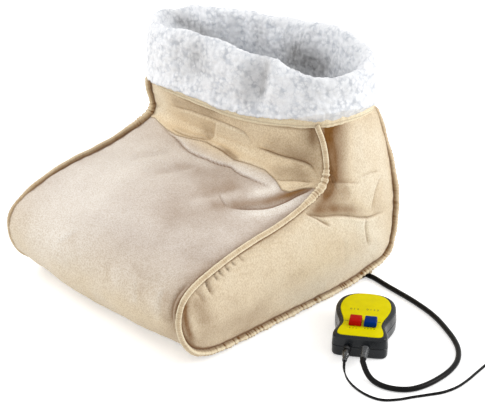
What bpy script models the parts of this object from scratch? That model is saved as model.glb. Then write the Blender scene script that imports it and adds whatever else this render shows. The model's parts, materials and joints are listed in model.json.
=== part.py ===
"""Electric foot warmer: a padded two-foot boot with a fleece cuff, a hand controller on a cable, and the
lead of its low-voltage adaptor. Metres, +Z up. The sole rests on z = 0, the toe points to -Y, and the origin
is under the middle of the sole. Each named object is one separate piece of the real thing."""

import math

import bmesh
import bpy
import numpy as np
from mathutils import Matrix, Vector

# Clearances
PIECE_GAP = 0.0003
LAYER_GAP = 0.0006
SIDE_LINING_GAP = 0.0010
LINING_EDGE_GAP = 0.0024
BINDING_GAP = 0.0007
CUT_OVERRUN = 0.004
MERGE = 0.00001
MM = 0.001

# Boot, overall sizes
BOOT_LENGTH = 0.328
SEAM_WIDTH = 0.289
COLLAR_HEIGHT = 0.190
COLLAR_TAPER = 0.0225
TAPER_START = 0.090
SIDE_BULGE = 0.011
BULGE_REACH = 0.060
GUSSET_CROWN = 0.020
COLLAR_LEAN = 0.0155
LEAN_START = 0.130
PANEL_THICKNESS = 0.006
LINING_THICKNESS = 0.007
BINDING_RADIUS = 0.0034
BINDING_RESOLUTION = 1

# Side seam, from the collar's front round the toe, sole and heel to the collar's rear:
# share of BOOT_LENGTH along Y, share of COLLAR_HEIGHT along Z, share of GUSSET_CROWN
SEAM_SHARES = (
    (0.073, 1.000, 1.00),
    (0.082, 0.931, 0.92),
    (0.094, 0.830, 0.75),
    (0.093, 0.766, 0.62),
    (0.070, 0.718, 0.55),
    (0.024, 0.686, 0.55),
    (-0.046, 0.649, 0.60),
    (-0.137, 0.617, 0.65),
    (-0.244, 0.596, 0.65),
    (-0.335, 0.569, 0.60),
    (-0.412, 0.537, 0.52),
    (-0.476, 0.503, 0.44),
    (-0.527, 0.452, 0.36),
    (-0.553, 0.383, 0.30),
    (-0.558, 0.293, 0.26),
    (-0.543, 0.197, 0.28),
    (-0.509, 0.112, 0.34),
    (-0.463, 0.059, 0.42),
    (-0.396, 0.032, 0.48),
    (-0.274, 0.023, 0.00),
    (-0.091, 0.022, 0.00),
    (0.091, 0.022, 0.00),
    (0.213, 0.024, 0.00),
    (0.274, 0.041, 0.00),
    (0.320, 0.057, 0.02),
    (0.378, 0.078, 0.10),
    (0.419, 0.130, 0.20),
    (0.436, 0.223, 0.34),
    (0.442, 0.330, 0.45),
    (0.441, 0.452, 0.55),
    (0.434, 0.585, 0.62),
    (0.427, 0.718, 0.68),
    (0.419, 0.862, 0.75),
    (0.412, 1.000, 0.80),
)
SHAFT_ROWS = (0, 4)
VAMP_ROWS = (4, 17.6)
BACK_ROWS = (24.4, 33)
SEAM_JOIN_ROWS = 0.03
CROWN_POWER = 2.3
SIDE_CENTRE_SHARES = (0.20, 0.37)
SIDE_RING_SHARES = (0.40, 0.78, 1.0)
RING_LIMIT_SHARE = 0.95
COLLAR_EDGE_STEPS = 5

# Collar binding and fleece cuff
COLLAR_BINDING_HEIGHT = 0.010
COLLAR_BINDING_THICKNESS = 0.008
COLLAR_BINDING_PROUD = 0.0015
CUFF_HEIGHT = 0.066
CUFF_THICKNESS = 0.019
CUFF_PROUD = 0.010
CUFF_FOOT_PROUD = 0.004
CUFF_STATIONS = 48
CUFF_FOLD_DEPTH = 0.006
CUFF_FOLD_WIDTH_SHARE = 0.030
# share of the way round the collar from its right front corner, over the front, and share of CUFF_FOLD_DEPTH
CUFF_FOLD_SHARES = (
    (0.04, 0.4), (0.105, 1.0), (0.17, 0.4), (0.235, 0.7), (0.31, 0.4), (0.42, 0.5), (0.51, 0.9), (0.60, 0.6),
    (0.70, 0.9), (0.80, 0.6), (0.90, 0.6), (0.96, 0.5),
)
# share of the way round, rim's height as a share of CUFF_HEIGHT, share of CUFF_PROUD
CUFF_RIM_SHARES = (
    (0.00, 0.70, 0.40), (0.04, 0.79, 0.40), (0.08, 0.90, 0.40), (0.11, 0.88, 0.40), (0.17, 0.99, 0.40),
    (0.245, 1.00, 0.60), (0.31, 0.92, 1.00), (0.37, 0.96, 1.00), (0.43, 0.92, 0.60), (0.51, 0.76, 0.40),
    (0.58, 0.76, 0.40), (0.65, 0.83, 0.40), (0.73, 0.94, 0.40), (0.79, 0.96, 0.40), (0.85, 0.88, 0.40),
    (0.91, 0.66, 0.40), (0.96, 0.65, 0.40),
)
# share of CUFF_THICKNESS inwards, share of the rim's height
CUFF_SECTION_SHARES = (
    (0.0, 0.0), (-0.06, 0.35), (0.02, 0.76), (0.22, 0.96), (0.50, 1.0), (0.82, 0.86), (1.0, 0.40),
)
# share of the rim's height at which a fold has its whole depth
CUFF_FOLD_FULL_SHARE = 0.5

# Sole, foam base, heating pad and insole
SOLE_THICKNESS = 0.006
SOLE_LENGTH = 0.782 * BOOT_LENGTH
SOLE_WIDTH = SEAM_WIDTH - 0.010
SOLE_CENTRE_Y = -0.0206 * BOOT_LENGTH
SOLE_CORNER = 0.014
SOLE_EDGE = 0.0015
FOAM_LENGTH = 0.689 * BOOT_LENGTH
FOAM_WIDTH = SEAM_WIDTH - 0.037
FOAM_THICKNESS = 0.020
FOAM_CENTRE_Y = -0.0518 * BOOT_LENGTH
FOAM_CORNER = 0.024
PAD_LENGTH = FOAM_LENGTH - 0.026
PAD_WIDTH = FOAM_WIDTH - 0.016
PAD_THICKNESS = 0.002
PAD_CORNER = 0.016
INSOLE_LENGTH = 0.817 * BOOT_LENGTH
INSOLE_WIDTH = SEAM_WIDTH - 0.031
INSOLE_THICKNESS = 0.008
INSOLE_CENTRE_Y = -0.0549 * BOOT_LENGTH
INSOLE_CORNER = 0.030
WIRE_RADIUS = 0.0006
WIRE_RUNS = 10
WIRE_MARGIN = 0.014
CUT_OUT_SIZE = (0.011, 0.007, 0.003)

# Massage modules
MODULE_SPACING = 0.124
MODULE_CENTRE_Y = -0.1525 * BOOT_LENGTH
MODULE_SIZE = (0.050, 0.026, 0.0176)
MODULE_WALL = 0.0015
MODULE_CORNER = 0.004
MODULE_CLEARANCE = 0.0006
MOTOR_RADIUS = 0.0070
MOTOR_LENGTH = 0.024
MOTOR_OFFSET = 0.006
MOTOR_BORE_RADIUS = 0.00135
SHAFT_RADIUS = 0.0010
SHAFT_LENGTH = 0.040
WEIGHT_RADIUS = 0.0060
WEIGHT_HUB_RADIUS = 0.0026
WEIGHT_THICKNESS = 0.006

# Controller
CONTROLLER_X = 0.2203
CONTROLLER_Y = 0.0074
CONTROLLER_TURN = 0.6153
CONTROLLER_HALF_LENGTH = 0.0471
CONTROLLER_HALF_WIDTH = 0.0322
CONTROLLER_HEIGHT = 0.0243
CONTROLLER_WALL = 0.0020
PARTING_HEIGHT = 0.0120
SHELL_ROUNDING = 0.0026
SHELL_TAPER = 0.0007
PLATE_HALF_LENGTH = 0.0436
PLATE_HALF_WIDTH = 0.0264
PLATE_THICKNESS = 0.0016
PLATE_PROUD = 0.0006
PLATE_ROUNDING = 0.0005
OUTLINE_STEPS = 1
# half outline from the middle of the cable end to the middle of the far end:
# shares of the half width and of the half length
HOUSING_SHARES = (
    (0.00, -1.00), (0.46, -1.00), (0.72, -0.985), (0.85, -0.93), (0.895, -0.82), (0.87, -0.68), (0.80, -0.52),
    (0.775, -0.37), (0.83, -0.18), (0.93, 0.04), (0.995, 0.26), (0.985, 0.48), (0.89, 0.70), (0.69, 0.87),
    (0.38, 0.97), (0.00, 1.00),
)
PLATE_SHARES = (
    (0.00, -1.00), (0.52, -1.00), (0.77, -0.985), (0.875, -0.92), (0.885, -0.81), (0.84, -0.67), (0.765, -0.52),
    (0.745, -0.38), (0.80, -0.20), (0.91, 0.02), (0.99, 0.25), (0.985, 0.47), (0.89, 0.69), (0.69, 0.865),
    (0.38, 0.97), (0.00, 1.00),
)
BOARD_HALF_LENGTH = 0.0300
BOARD_HALF_WIDTH = 0.0165
BOARD_THICKNESS = 0.0016
BOARD_HEIGHT = 0.0050
BOARD_CENTRE_Y = 0.002
SCREW_RADIUS = 0.0014
SCREW_HEAD_RADIUS = 0.0026
SCREW_HEAD_HEIGHT = 0.0016
SCREW_LENGTH = 0.0090
SCREW_SINK = 0.0008
BOSS_RADIUS = 0.0032
BOSS_FOOT = 0.0036
SCREW_PLACES_SHARES = ((0.64, 0.60), (-0.64, 0.60), (0.64, -0.76), (-0.64, -0.76))

# Slide switches
KNOB_WIDTH = 0.0132
KNOB_LENGTH = 0.0147
KNOB_HEIGHT = 0.0058
KNOB_ROUNDING = 0.0012
KNOB_EDGE = 0.0006
KNOB_SPACING = 0.0155
KNOB_SHIFT_X = 0.0007
KNOB_CENTRE_Y = -0.0191
KNOB_TRAVEL = 0.0030
STEM_WIDTH = 0.0040
STEM_LENGTH = 0.0050
SWITCH_WIDTH = 0.0110
SWITCH_LENGTH = 0.0180
SWITCH_HEIGHT = 0.0074

# Cable, lead and what holds them
CABLE_RADIUS = 0.0029
LEAD_RADIUS = 0.0015
GROMMET_SIZE = (0.016, 0.014, 0.0054)
GROMMET_CORNER = 0.0012
GROMMET_Y = 0.3125 * BOOT_LENGTH
PORT_HEIGHT = 0.0115
RELIEF_X = 0.0065
RELIEF_LENGTH = 0.0190
RELIEF_ROOT_RADIUS = 0.0044
RELIEF_TIP_RADIUS = 0.0034
RELIEF_RIBS = 5
RIB_DEPTH = 0.0006
RIB_VALLEY_SHARE = 0.55
FLANGE_RADIUS = 0.0058
FLANGE_THICKNESS = 0.0016
JACK_X = -0.0115
JACK_RADIUS = 0.0044
JACK_LENGTH = 0.0130
JACK_BORE_RADIUS = 0.0031
JACK_PIN_RADIUS = 0.0009
JACK_PIN_SET_BACK = 0.002
BARREL_RADIUS = 0.00275
BARREL_BORE_RADIUS = 0.0013
BARREL_LENGTH = 0.0095
GRIP_RADIUS = 0.0042
GRIP_LENGTH = 0.0250
GRIP_TIP_RADIUS = 0.0024
# share of GRIP_LENGTH from the controller, share of GRIP_RADIUS
GRIP_SHARES = ((0.00, 0.92), (0.10, 1.00), (0.60, 0.94), (0.66, 0.714))
CORD_STEP_DIAMETERS = 2.4

# Control cable: chosen places in metres, from the boot's seam to the strain relief
CABLE_ROUTE = (
    (0.1530, GROMMET_Y, 0.0030), (0.1727, 0.0995, 0.0030), (0.1938, 0.0972, 0.0030), (0.2145, 0.0945, 0.0030),
    (0.2368, 0.0900, 0.0030), (0.2563, 0.0838, 0.0030), (0.2772, 0.0739, 0.0030), (0.2962, 0.0630, 0.0030),
    (0.3113, 0.0507, 0.0030), (0.3227, 0.0351, 0.0030), (0.3288, 0.0180, 0.0030), (0.3310, -0.0010, 0.0030),
    (0.3298, -0.0220, 0.0030), (0.3244, -0.0388, 0.0030), (0.3144, -0.0494, 0.0030), (0.3013, -0.0550, 0.0030),
    (0.2885, -0.0556, 0.0038), (0.2775, -0.0525, 0.0066),
)
# Adaptor lead: chosen places in metres, from the plug's grip to the coil
LEAD_ROUTE = (
    (0.2605, -0.0670, 0.0075), (0.2700, -0.0720, 0.0032), (0.2847, -0.0757, 0.0016), (0.3013, -0.0768, 0.0016),
    (0.3152, -0.0727, 0.0016), (0.3256, -0.0612, 0.0016), (0.3333, -0.0468, 0.0016), (0.3410, -0.0332, 0.0016),
    (0.3483, -0.0193, 0.0016), (0.3520, -0.0033, 0.0016), (0.3517, 0.0140, 0.0016), (0.3493, 0.0324, 0.0016),
    (0.3466, 0.0530, 0.0017), (0.3446, 0.0720, 0.0022), (0.3437, 0.0840, 0.0026),
)
# Short tail from the coil to the adaptor: chosen places in metres
TAIL_ROUTE = (
    (0.3448, 0.1260, 0.0110), (0.3475, 0.1360, 0.0080), (0.3515, 0.1440, 0.0078), (0.3570, 0.1500, 0.0105),
    (0.3630, 0.1560, 0.0130),
)

# Coil of the lead that the photograph leaves out
COIL_X = 0.3680
COIL_Y = 0.1060
COIL_OUTER_RADIUS = 0.0245
COIL_TURN_PITCH = 0.0039
COIL_LAYER_PITCH = 0.0035
COIL_LAYERS = 4
COIL_TURNS_A_LAYER = 2.25
COIL_POINTS_A_TURN = 24
COIL_LEAST_GAP = 0.0004
TIE_THICKNESS = 0.0010
TIE_WIDTH = 0.0050

# Mains adaptor
ADAPTOR_X = 0.3680
ADAPTOR_Y = 0.2180
ADAPTOR_SIZE = (0.042, 0.066, 0.028)
ADAPTOR_WALL = 0.0022
ADAPTOR_CORNER = 0.005
ADAPTOR_RELIEF_LENGTH = 0.0220
ADAPTOR_RELIEF_RADIUS = 0.0038
ADAPTOR_RELIEF_TIP_RADIUS = 0.00195
ADAPTOR_FLANGE_RADIUS = 0.00494
TRANSFORMER_SIZE = (0.032, 0.042, 0.020)
PIN_RADIUS = 0.0020
PIN_TIP_RADIUS = 0.0011
PIN_LENGTH = 0.0190
PIN_SPACING = 0.0190
PIN_ROOT = 0.0015
PIN_CENTRE_Y = 0.012

# Fineness of round and curved forms
ROUND_STEPS = 12
SMALL_ROUND_STEPS = 10
SCREW_STEPS = 8
CORNER_STEPS = 3
EDGE_STEPS = 2
CABLE_SIDES = 2
COIL_SIDES = 1
WIRE_SIDES = 0
SHAFT_COLUMNS = 10
PANEL_COLUMNS = 8
COLLAR_FRONT_PLACES = 17
COLLAR_SIDE_PLACES = 11
COLLAR_SMOOTHINGS = 3
ROUTE_FINENESS = 40
WIRE_TURN_PLACES = 5
WEIGHT_RIM_PLACES = 11
WEIGHT_HUB_PLACES = 7
SHARP_ANGLE = 0.7

MATERIALS = {
    "side_suede": ((0.78, 0.66, 0.47), 0.95, 0.0),
    "vamp_suede": ((0.80, 0.70, 0.56), 0.95, 0.0),
    "binding": ((0.76, 0.63, 0.43), 0.90, 0.0),
    "fleece": ((0.93, 0.93, 0.92), 1.0, 0.0),
    "sole": ((0.70, 0.60, 0.45), 0.95, 0.0),
    "foam": ((0.80, 0.78, 0.70), 1.0, 0.0),
    "felt": ((0.62, 0.62, 0.60), 1.0, 0.0),
    "heating_wire": ((0.55, 0.10, 0.08), 0.6, 0.0),
    "motor_plastic": ((0.75, 0.75, 0.73), 0.5, 0.0),
    "steel": ((0.60, 0.60, 0.60), 0.3, 1.0),
    "brass": ((0.75, 0.60, 0.30), 0.35, 1.0),
    "black_plastic": ((0.035, 0.036, 0.040), 0.35, 0.0),
    "yellow_plate": ((0.80, 0.74, 0.01), 0.3, 0.0),
    "red_knob": ((0.62, 0.02, 0.02), 0.35, 0.0),
    "blue_knob": ((0.01, 0.06, 0.36), 0.35, 0.0),
    "board": ((0.10, 0.30, 0.14), 0.5, 0.0),
    "cable": ((0.020, 0.018, 0.018), 0.3, 0.0),
    "adaptor_plastic": ((0.03, 0.03, 0.032), 0.45, 0.0),
}


# Scene and small tools


def clear_scene():
    for thing in list(bpy.data.objects):
        bpy.data.objects.remove(thing, do_unlink=True)


def new_collection(name):
    collection = bpy.data.collections.new(name)
    bpy.context.scene.collection.children.link(collection)
    return collection


def material(name):
    found = bpy.data.materials.get(name)
    if found:
        return found
    colour, roughness, metallic = MATERIALS[name]
    made = bpy.data.materials.new(name)
    made.use_nodes = True
    shader = made.node_tree.nodes["Principled BSDF"]
    shader.inputs["Base Color"].default_value = (*colour, 1.0)
    shader.inputs["Roughness"].default_value = roughness
    shader.inputs["Metallic"].default_value = metallic
    return made


def place(name, data, finish, matrix=None, collection=None):
    """A new object that holds data, in the part's collection unless another is given."""
    thing = bpy.data.objects.new(name, data)
    (collection or PARTS).objects.link(thing)
    if finish:
        data.materials.append(material(finish))
    if matrix is not None:
        thing.matrix_world = matrix
    return thing


def mesh_from(build, name, finish, matrix=None, collection=None):
    """Ends a bmesh as an object, with its faces turned outwards and its round faces shaded smooth."""
    bmesh.ops.recalc_face_normals(build, faces=build.faces)
    data = bpy.data.meshes.new(name)
    build.to_mesh(data)
    build.free()
    data.shade_smooth()
    data.set_sharp_from_angle(angle=SHARP_ANGLE)
    return place(name, data, finish, matrix, collection)


def cut(target, cutter, operation="DIFFERENCE"):
    """Joins or cuts one mesh object with another by a Boolean."""
    modifier = target.modifiers.new(operation.lower() + "_" + cutter.name, "BOOLEAN")
    modifier.operation = operation
    modifier.object = cutter


def guide(thing):
    thing.hide_render = True
    thing.display_type = "WIRE"
    return thing


def block(name, size, centre, finish, corner=0.0, matrix=None, edge=0.0, collection=None):
    """A box with its upright edges rounded by corner and its level edges by edge."""
    build = bmesh.new()
    bmesh.ops.create_cube(build, size=1.0)
    bmesh.ops.scale(build, vec=Vector(size), verts=build.verts)
    if corner:
        upright = [e for e in build.edges if abs(e.verts[0].co.z - e.verts[1].co.z) > size[2] / 2]
        bmesh.ops.bevel(build, geom=upright, offset=corner, segments=CORNER_STEPS, affect="EDGES", profile=0.5)
    if edge:
        level = [e for e in build.edges if abs(e.verts[0].co.z - e.verts[1].co.z) < MERGE]
        rim = [e for e in level if any(abs(f.normal.z) < 0.5 for f in e.link_faces)]
        bmesh.ops.bevel(build, geom=rim, offset=edge, segments=EDGE_STEPS, affect="EDGES", profile=0.5)
    bmesh.ops.translate(build, vec=Vector(centre), verts=build.verts)
    return mesh_from(build, name, finish, matrix, collection)


def turned(name, profile, finish, matrix, collection=None, steps=ROUND_STEPS):
    """A turned solid: profile is (radius, height) pairs that run down the outer side, and close on themselves or
    on the axis."""
    build = bmesh.new()
    corners = [build.verts.new((radius, 0.0, height)) for radius, height in profile]
    ends_on_axis = profile[0][0] == 0.0 and profile[-1][0] == 0.0
    for first, second in zip(corners, corners[1:] if ends_on_axis else corners[1:] + corners[:1]):
        build.edges.new((first, second))
    data = bpy.data.meshes.new(name)
    build.to_mesh(data)
    build.free()
    thing = place(name, data, finish, matrix, collection)
    screw = thing.modifiers.new("turn", "SCREW")
    screw.steps = steps
    screw.render_steps = steps
    screw.use_merge_vertices = True
    screw.merge_threshold = MERGE
    screw.use_smooth_shade = True
    return thing


def rod(name, radius, bottom, top, finish, matrix, collection=None, steps=ROUND_STEPS):
    """A plain cylinder along the local Z axis."""
    profile = ((0.0, top), (radius, top), (radius, bottom), (0.0, bottom))
    return turned(name, profile, finish, matrix, collection, steps)


def tube(name, points, radius, finish, sides):
    """A round tube along points, with filled ends. sides is the curve's bevel resolution."""
    data = bpy.data.curves.new(name, "CURVE")
    data.dimensions = "3D"
    data.bevel_depth = radius
    data.bevel_resolution = sides
    data.use_fill_caps = True
    spline = data.splines.new("POLY")
    spline.points.add(len(points) - 1)
    for point, where in zip(spline.points, points):
        point.co = (*where, 1.0)
    return place(name, data, finish)


def catmull(points, at):
    """The place and direction at a running number along a smooth curve through points."""
    last = len(points) - 1
    i = min(max(int(math.floor(at)), 0), last - 1)
    f = at - i
    p1, p2 = points[i], points[i + 1]
    p0 = points[i - 1] if i else 2 * p1 - p2
    p3 = points[i + 2] if i + 2 <= last else 2 * p2 - p1
    a, b, c = 2 * p1, p2 - p0, 2 * p0 - 5 * p1 + 4 * p2 - p3
    d = 3 * p1 - p0 - 3 * p2 + p3
    return (a + b * f + c * f * f + d * f ** 3) / 2, (b + 2 * c * f + 3 * d * f * f) / 2


def smooth_route(points, step):
    """Places a near-equal step apart on a smooth curve through points."""
    points = np.array(points, float)
    running = np.linspace(0, len(points) - 1, ROUTE_FINENESS * len(points))
    fine = np.array([catmull(points, at)[0] for at in running])
    run = np.concatenate([[0.0], np.cumsum(np.linalg.norm(np.diff(fine, axis=0), axis=1))])
    count = max(2, round(run[-1] / step) + 1)
    even = np.linspace(0, run[-1], count)
    return np.stack([np.interp(even, run, fine[:, k]) for k in range(fine.shape[1])], axis=1)


def least_gap(points, radius, apart):
    """The least gap between passes of a tube that are more than apart along it."""
    points = np.array(points)
    run = np.concatenate([[0.0], np.cumsum(np.linalg.norm(np.diff(points, axis=0), axis=1))])
    fine = np.linspace(0, run[-1], 4 * len(points))
    places = np.stack([np.interp(fine, run, points[:, k]) for k in range(3)], axis=1)
    distance = np.linalg.norm(places[:, None] - places[None], axis=2)
    distance[np.abs(fine[:, None] - fine[None]) < apart] = np.inf
    return distance.min() - 2 * radius


# Boot shape: every panel is read from the side seam and from how far the cloth swells between seams

SEAM = np.array(SEAM_SHARES) * (BOOT_LENGTH, COLLAR_HEIGHT, GUSSET_CROWN)
LAST_ROW = len(SEAM) - 1
CORNER_SET = (BINDING_RADIUS + BINDING_GAP) / math.sqrt(2)


def seam_at(row):
    """Y and Z of the binding's middle, the way out of the boot there, and the cloth's crown between the seams."""
    where, way = catmull(SEAM, row)
    way = way[:2] / np.linalg.norm(way[:2])
    return where[:2], np.array([way[1], -way[0]]), where[2]


def seam_corner(row, inset=0.0):
    """Where the outer faces of two panels meet inside the binding, moved inwards by inset."""
    where, out, _ = seam_at(row)
    corner = where - (CORNER_SET + inset) * out
    if row in (0, LAST_ROW):
        corner[1] = COLLAR_HEIGHT
    return corner


SEAM_LINE = np.array([seam_corner(row) for row in np.linspace(0, LAST_ROW, 5 * LAST_ROW + 1)])


def half_width(z):
    """From the middle of the boot to the binding's middle, at a height."""
    share = max(0.0, (z - TAPER_START) / (COLLAR_HEIGHT - TAPER_START))
    return SEAM_WIDTH / 2 - COLLAR_TAPER * share ** 2


def side_x(y, z):
    """How far out the right side panel stands: it swells with the distance from its seam."""
    start, end = SEAM_LINE[:-1], SEAM_LINE[1:]
    along = end - start
    share = np.clip(((np.array([y, z]) - start) * along).sum(1) / (along ** 2).sum(1), 0, 1)
    away = np.linalg.norm(start + share[:, None] * along - (y, z), axis=1).min()
    swell = 1 - (1 - min(away / BULGE_REACH, 1.0)) ** 2
    return half_width(z) - CORNER_SET + SIDE_BULGE * swell


def lean(point):
    """The collar's front sits further back on the right than on the left."""
    x, y, z = point
    rise = min(max((z - LEAN_START) / (COLLAR_HEIGHT - LEAN_START), 0.0), 1.0)
    front = min(max((SEAM[-1][0] - y) / (SEAM[-1][0] - SEAM[0][0]), 0.0), 1.0)
    return (x, y + COLLAR_LEAN * x / (SEAM_WIDTH / 2) * rise * rise * (3 - 2 * rise) * front, z)


def gusset_point(row, share, depth, end_inset):
    """A place on a panel that runs across the boot, share being -1 at its left edge and 1 at its right."""
    _, out, crown = seam_at(row)
    y, z = seam_corner(row)
    x = share * (half_width(z) - CORNER_SET - end_inset)
    y, z = np.array([y, z]) + out * (crown * (1 - abs(share) ** CROWN_POWER) - depth)
    if row in (0, LAST_ROW):
        z = COLLAR_HEIGHT
    return lean((x, y, z))


def lofted(name, outer, inner, finish):
    """A closed padded panel between two sheets of places, given as equal grids."""
    build = bmesh.new()
    sheets = [[[build.verts.new(p) for p in row] for row in sheet] for sheet in (outer, inner)]
    rows, columns = len(outer), len(outer[0])
    for sheet in sheets:
        for i in range(rows - 1):
            for j in range(columns - 1):
                build.faces.new((sheet[i][j], sheet[i + 1][j], sheet[i + 1][j + 1], sheet[i][j + 1]))
    rim = [(0, j) for j in range(columns)] + [(i, columns - 1) for i in range(1, rows)]
    rim += [(rows - 1, j) for j in range(columns - 2, -1, -1)] + [(i, 0) for i in range(rows - 2, 0, -1)]
    for (i, j), (k, m) in zip(rim, rim[1:] + rim[:1]):
        build.faces.new((sheets[0][i][j], sheets[0][k][m], sheets[1][k][m], sheets[1][i][j]))
    return mesh_from(build, name, finish)


def gusset_panel(name, ends, across, depth, thickness, end_inset, finish):
    """A panel that runs across the boot between two rows of the seam table."""
    start, end = (
        row if row in (0, LAST_ROW) else row + SEAM_JOIN_ROWS * side for row, side in zip(ends, (1, -1))
    )
    rows = [start, *range(math.floor(start) + 1, math.ceil(end)), end]
    shares = np.sin(np.linspace(-1, 1, across + 1) * math.pi / 2)
    sheets = [
        [[gusset_point(row, share, level, end_inset) for share in shares] for row in rows]
        for level in (depth, depth + thickness)
    ]
    return lofted(name, sheets[0], sheets[1], finish)


def side_panel(name, side, depth, thickness, inset, finish):
    """A panel that fills the loop of the side seam, in rings about a middle place. With an inset it ends that far
    inside the seam, but keeps the same facets, so that a lining follows its panel."""
    middle = np.array(SIDE_CENTRE_SHARES) * (BOOT_LENGTH, COLLAR_HEIGHT)
    loop = [seam_corner(row) for row in range(LAST_ROW + 1)]
    edges = [1 - inset / np.dot(corner - middle, seam_at(row)[1]) for row, corner in enumerate(loop)]
    back, front = loop[-1], loop[0]
    loop += [back + (front - back) * k / COLLAR_EDGE_STEPS for k in range(1, COLLAR_EDGE_STEPS)]
    edges += [1.0] * (COLLAR_EDGE_STEPS - 1)
    knots = (0.0, *SIDE_RING_SHARES)
    rays = [[side_x(*(middle + (corner - middle) * knot)) for knot in knots] for corner in loop]

    def place_on_ray(j, share, level):
        y, z = middle + (loop[j] - middle) * share
        x = np.interp(share, knots, rays[j])
        if j in (0, LAST_ROW) and share == edges[j]:
            beside = -1 if j == 0 else j + 1
            along = inset / np.linalg.norm(loop[beside] - loop[j])
            y, z = loop[j] + (loop[beside] - loop[j]) * along
            x = rays[j][-1] + (rays[beside][-1] - rays[j][-1]) * along
        return lean((side * (x - level), y, z))

    build = bmesh.new()
    sheets = []
    for level in (depth, depth + thickness):
        rings = [[build.verts.new(place_on_ray(0, 0.0, level))]]
        for ring_share in SIDE_RING_SHARES:
            last = ring_share == 1
            shares = [edge if last else min(ring_share, edge * RING_LIMIT_SHARE) for edge in edges]
            rings.append([build.verts.new(place_on_ray(j, share, level)) for j, share in enumerate(shares)])
        sheets.append(rings)
        for j in range(len(loop)):
            k = (j + 1) % len(loop)
            build.faces.new((rings[0][0], rings[1][j], rings[1][k]))
            for near, far in zip(rings[1:], rings[2:]):
                build.faces.new((near[j], far[j], far[k], near[k]))
    for j in range(len(loop)):
        k = (j + 1) % len(loop)
        build.faces.new((sheets[0][-1][j], sheets[0][-1][k], sheets[1][-1][k], sheets[1][-1][j]))
    return mesh_from(build, name, finish)


def seam_binding(name, side):
    points = []
    for row in range(LAST_ROW + 1):
        (y, z), _, _ = seam_at(row)
        points.append(lean((side * half_width(z), y, min(z, COLLAR_HEIGHT))))
    tube(name, points, BINDING_RADIUS, "binding", BINDING_RESOLUTION)


# Collar


def collar_loop():
    """X and Y round the outer face of the boot's top edge, from the right front corner over the front."""
    across = np.linspace(1, -1, COLLAR_FRONT_PLACES)
    front = [gusset_point(0, share, 0.0, 0.0)[:2] for share in across]
    rear = [gusset_point(LAST_ROW, -share, 0.0, 0.0)[:2] for share in across]
    sides = []
    for side, (first, last) in ((-1, (0, LAST_ROW)), (1, (LAST_ROW, 0))):
        start, end = seam_corner(first), seam_corner(last)
        flat = [start + (end - start) * share for share in np.linspace(0, 1, COLLAR_SIDE_PLACES)[1:-1]]
        sides.append([lean((side * side_x(*p), *p))[:2] for p in flat])
    loop = np.array(front + sides[0] + rear + sides[1])
    for _ in range(COLLAR_SMOOTHINGS):
        loop = (np.roll(loop, 1, 0) + 2 * loop + np.roll(loop, -1, 0)) / 4
    closed = np.concatenate([loop, loop[:1]])
    run = np.concatenate([[0.0], np.cumsum(np.linalg.norm(np.diff(closed, axis=0), axis=1))])
    even = np.linspace(0, run[-1], CUFF_STATIONS + 1)[:-1]
    return np.stack([np.interp(even, run, closed[:, k]) for k in (0, 1)], axis=1)


def loop_ways_out(loop):
    way = np.roll(loop, -1, 0) - np.roll(loop, 1, 0)
    way /= np.linalg.norm(way, axis=1)[:, None]
    out = np.stack([way[:, 1], -way[:, 0]], axis=1)
    middle = loop.mean(axis=0)
    return out if ((loop - middle) * out).sum() > 0 else -out


def ring_of(name, sections, finish):
    """A closed ring whose cross-sections, equal lists of places, follow each other round."""
    build = bmesh.new()
    rings = [[build.verts.new(p) for p in section] for section in sections]
    for ring, after in zip(rings, rings[1:] + rings[:1]):
        for j in range(len(ring)):
            k = (j + 1) % len(ring)
            build.faces.new((ring[j], ring[k], after[k], after[j]))
    return mesh_from(build, name, finish)


def rim_round(share):
    """The cuff's height and how far it stands proud of the collar, at a share of the way round."""
    table = np.array([*CUFF_RIM_SHARES, (1 + CUFF_RIM_SHARES[0][0], *CUFF_RIM_SHARES[0][1:])])
    i = min(int(np.searchsorted(table[:, 0], share, side="right")) - 1, len(CUFF_RIM_SHARES) - 1)
    f = (share - table[i, 0]) / (table[i + 1, 0] - table[i, 0])
    height, proud = table[i, 1:] + (table[i + 1, 1:] - table[i, 1:]) * f * f * (3 - 2 * f)
    return CUFF_HEIGHT * height, CUFF_PROUD * proud


def cuff_fold(share):
    """How far the cuff is drawn in by its folds, at a share of the way round."""
    total = 0.0
    for middle, depth in CUFF_FOLD_SHARES:
        away = abs((share - middle + 0.5) % 1.0 - 0.5)
        total += depth * math.exp(-((away / CUFF_FOLD_WIDTH_SHARE) ** 2))
    return CUFF_FOLD_DEPTH * total


def collar_and_cuff():
    loop = collar_loop()
    outward = loop_ways_out(loop)
    low = COLLAR_HEIGHT + PIECE_GAP
    high = low + COLLAR_BINDING_HEIGHT
    middle = (low + high) / 2
    sections = []
    for where, out in zip(loop, outward):
        outer = where + out * COLLAR_BINDING_PROUD
        inner = outer - out * COLLAR_BINDING_THICKNESS
        swell = outer + out * COLLAR_BINDING_PROUD
        sections.append([(*outer, low), (*swell, middle), (*outer, high), (*inner, high), (*inner, low)])
    ring_of("collar_binding", sections, "binding")

    base = high + PIECE_GAP
    step = COLLAR_BINDING_THICKNESS - COLLAR_BINDING_PROUD + LAYER_GAP
    tail = COLLAR_HEIGHT + LAYER_GAP
    sections = []
    for k, (where, out) in enumerate(zip(loop, outward)):
        height, proud = rim_round(k / CUFF_STATIONS)
        fold = cuff_fold(k / CUFF_STATIONS)
        section = []
        for inward, up in CUFF_SECTION_SHARES:
            drawn = fold * min(1.0, up / CUFF_FOLD_FULL_SHARE) + CUFF_THICKNESS * inward
            section.append((*(where + out * (proud - drawn)), base + height * up))
        inner = where + out * (CUFF_FOOT_PROUD - CUFF_THICKNESS)
        seat = where - out * step
        section += [(*inner, tail), (*seat, tail), (*seat, base)]
        sections.append(section)
    ring_of("fleece_cuff", sections, "fleece")


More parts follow.
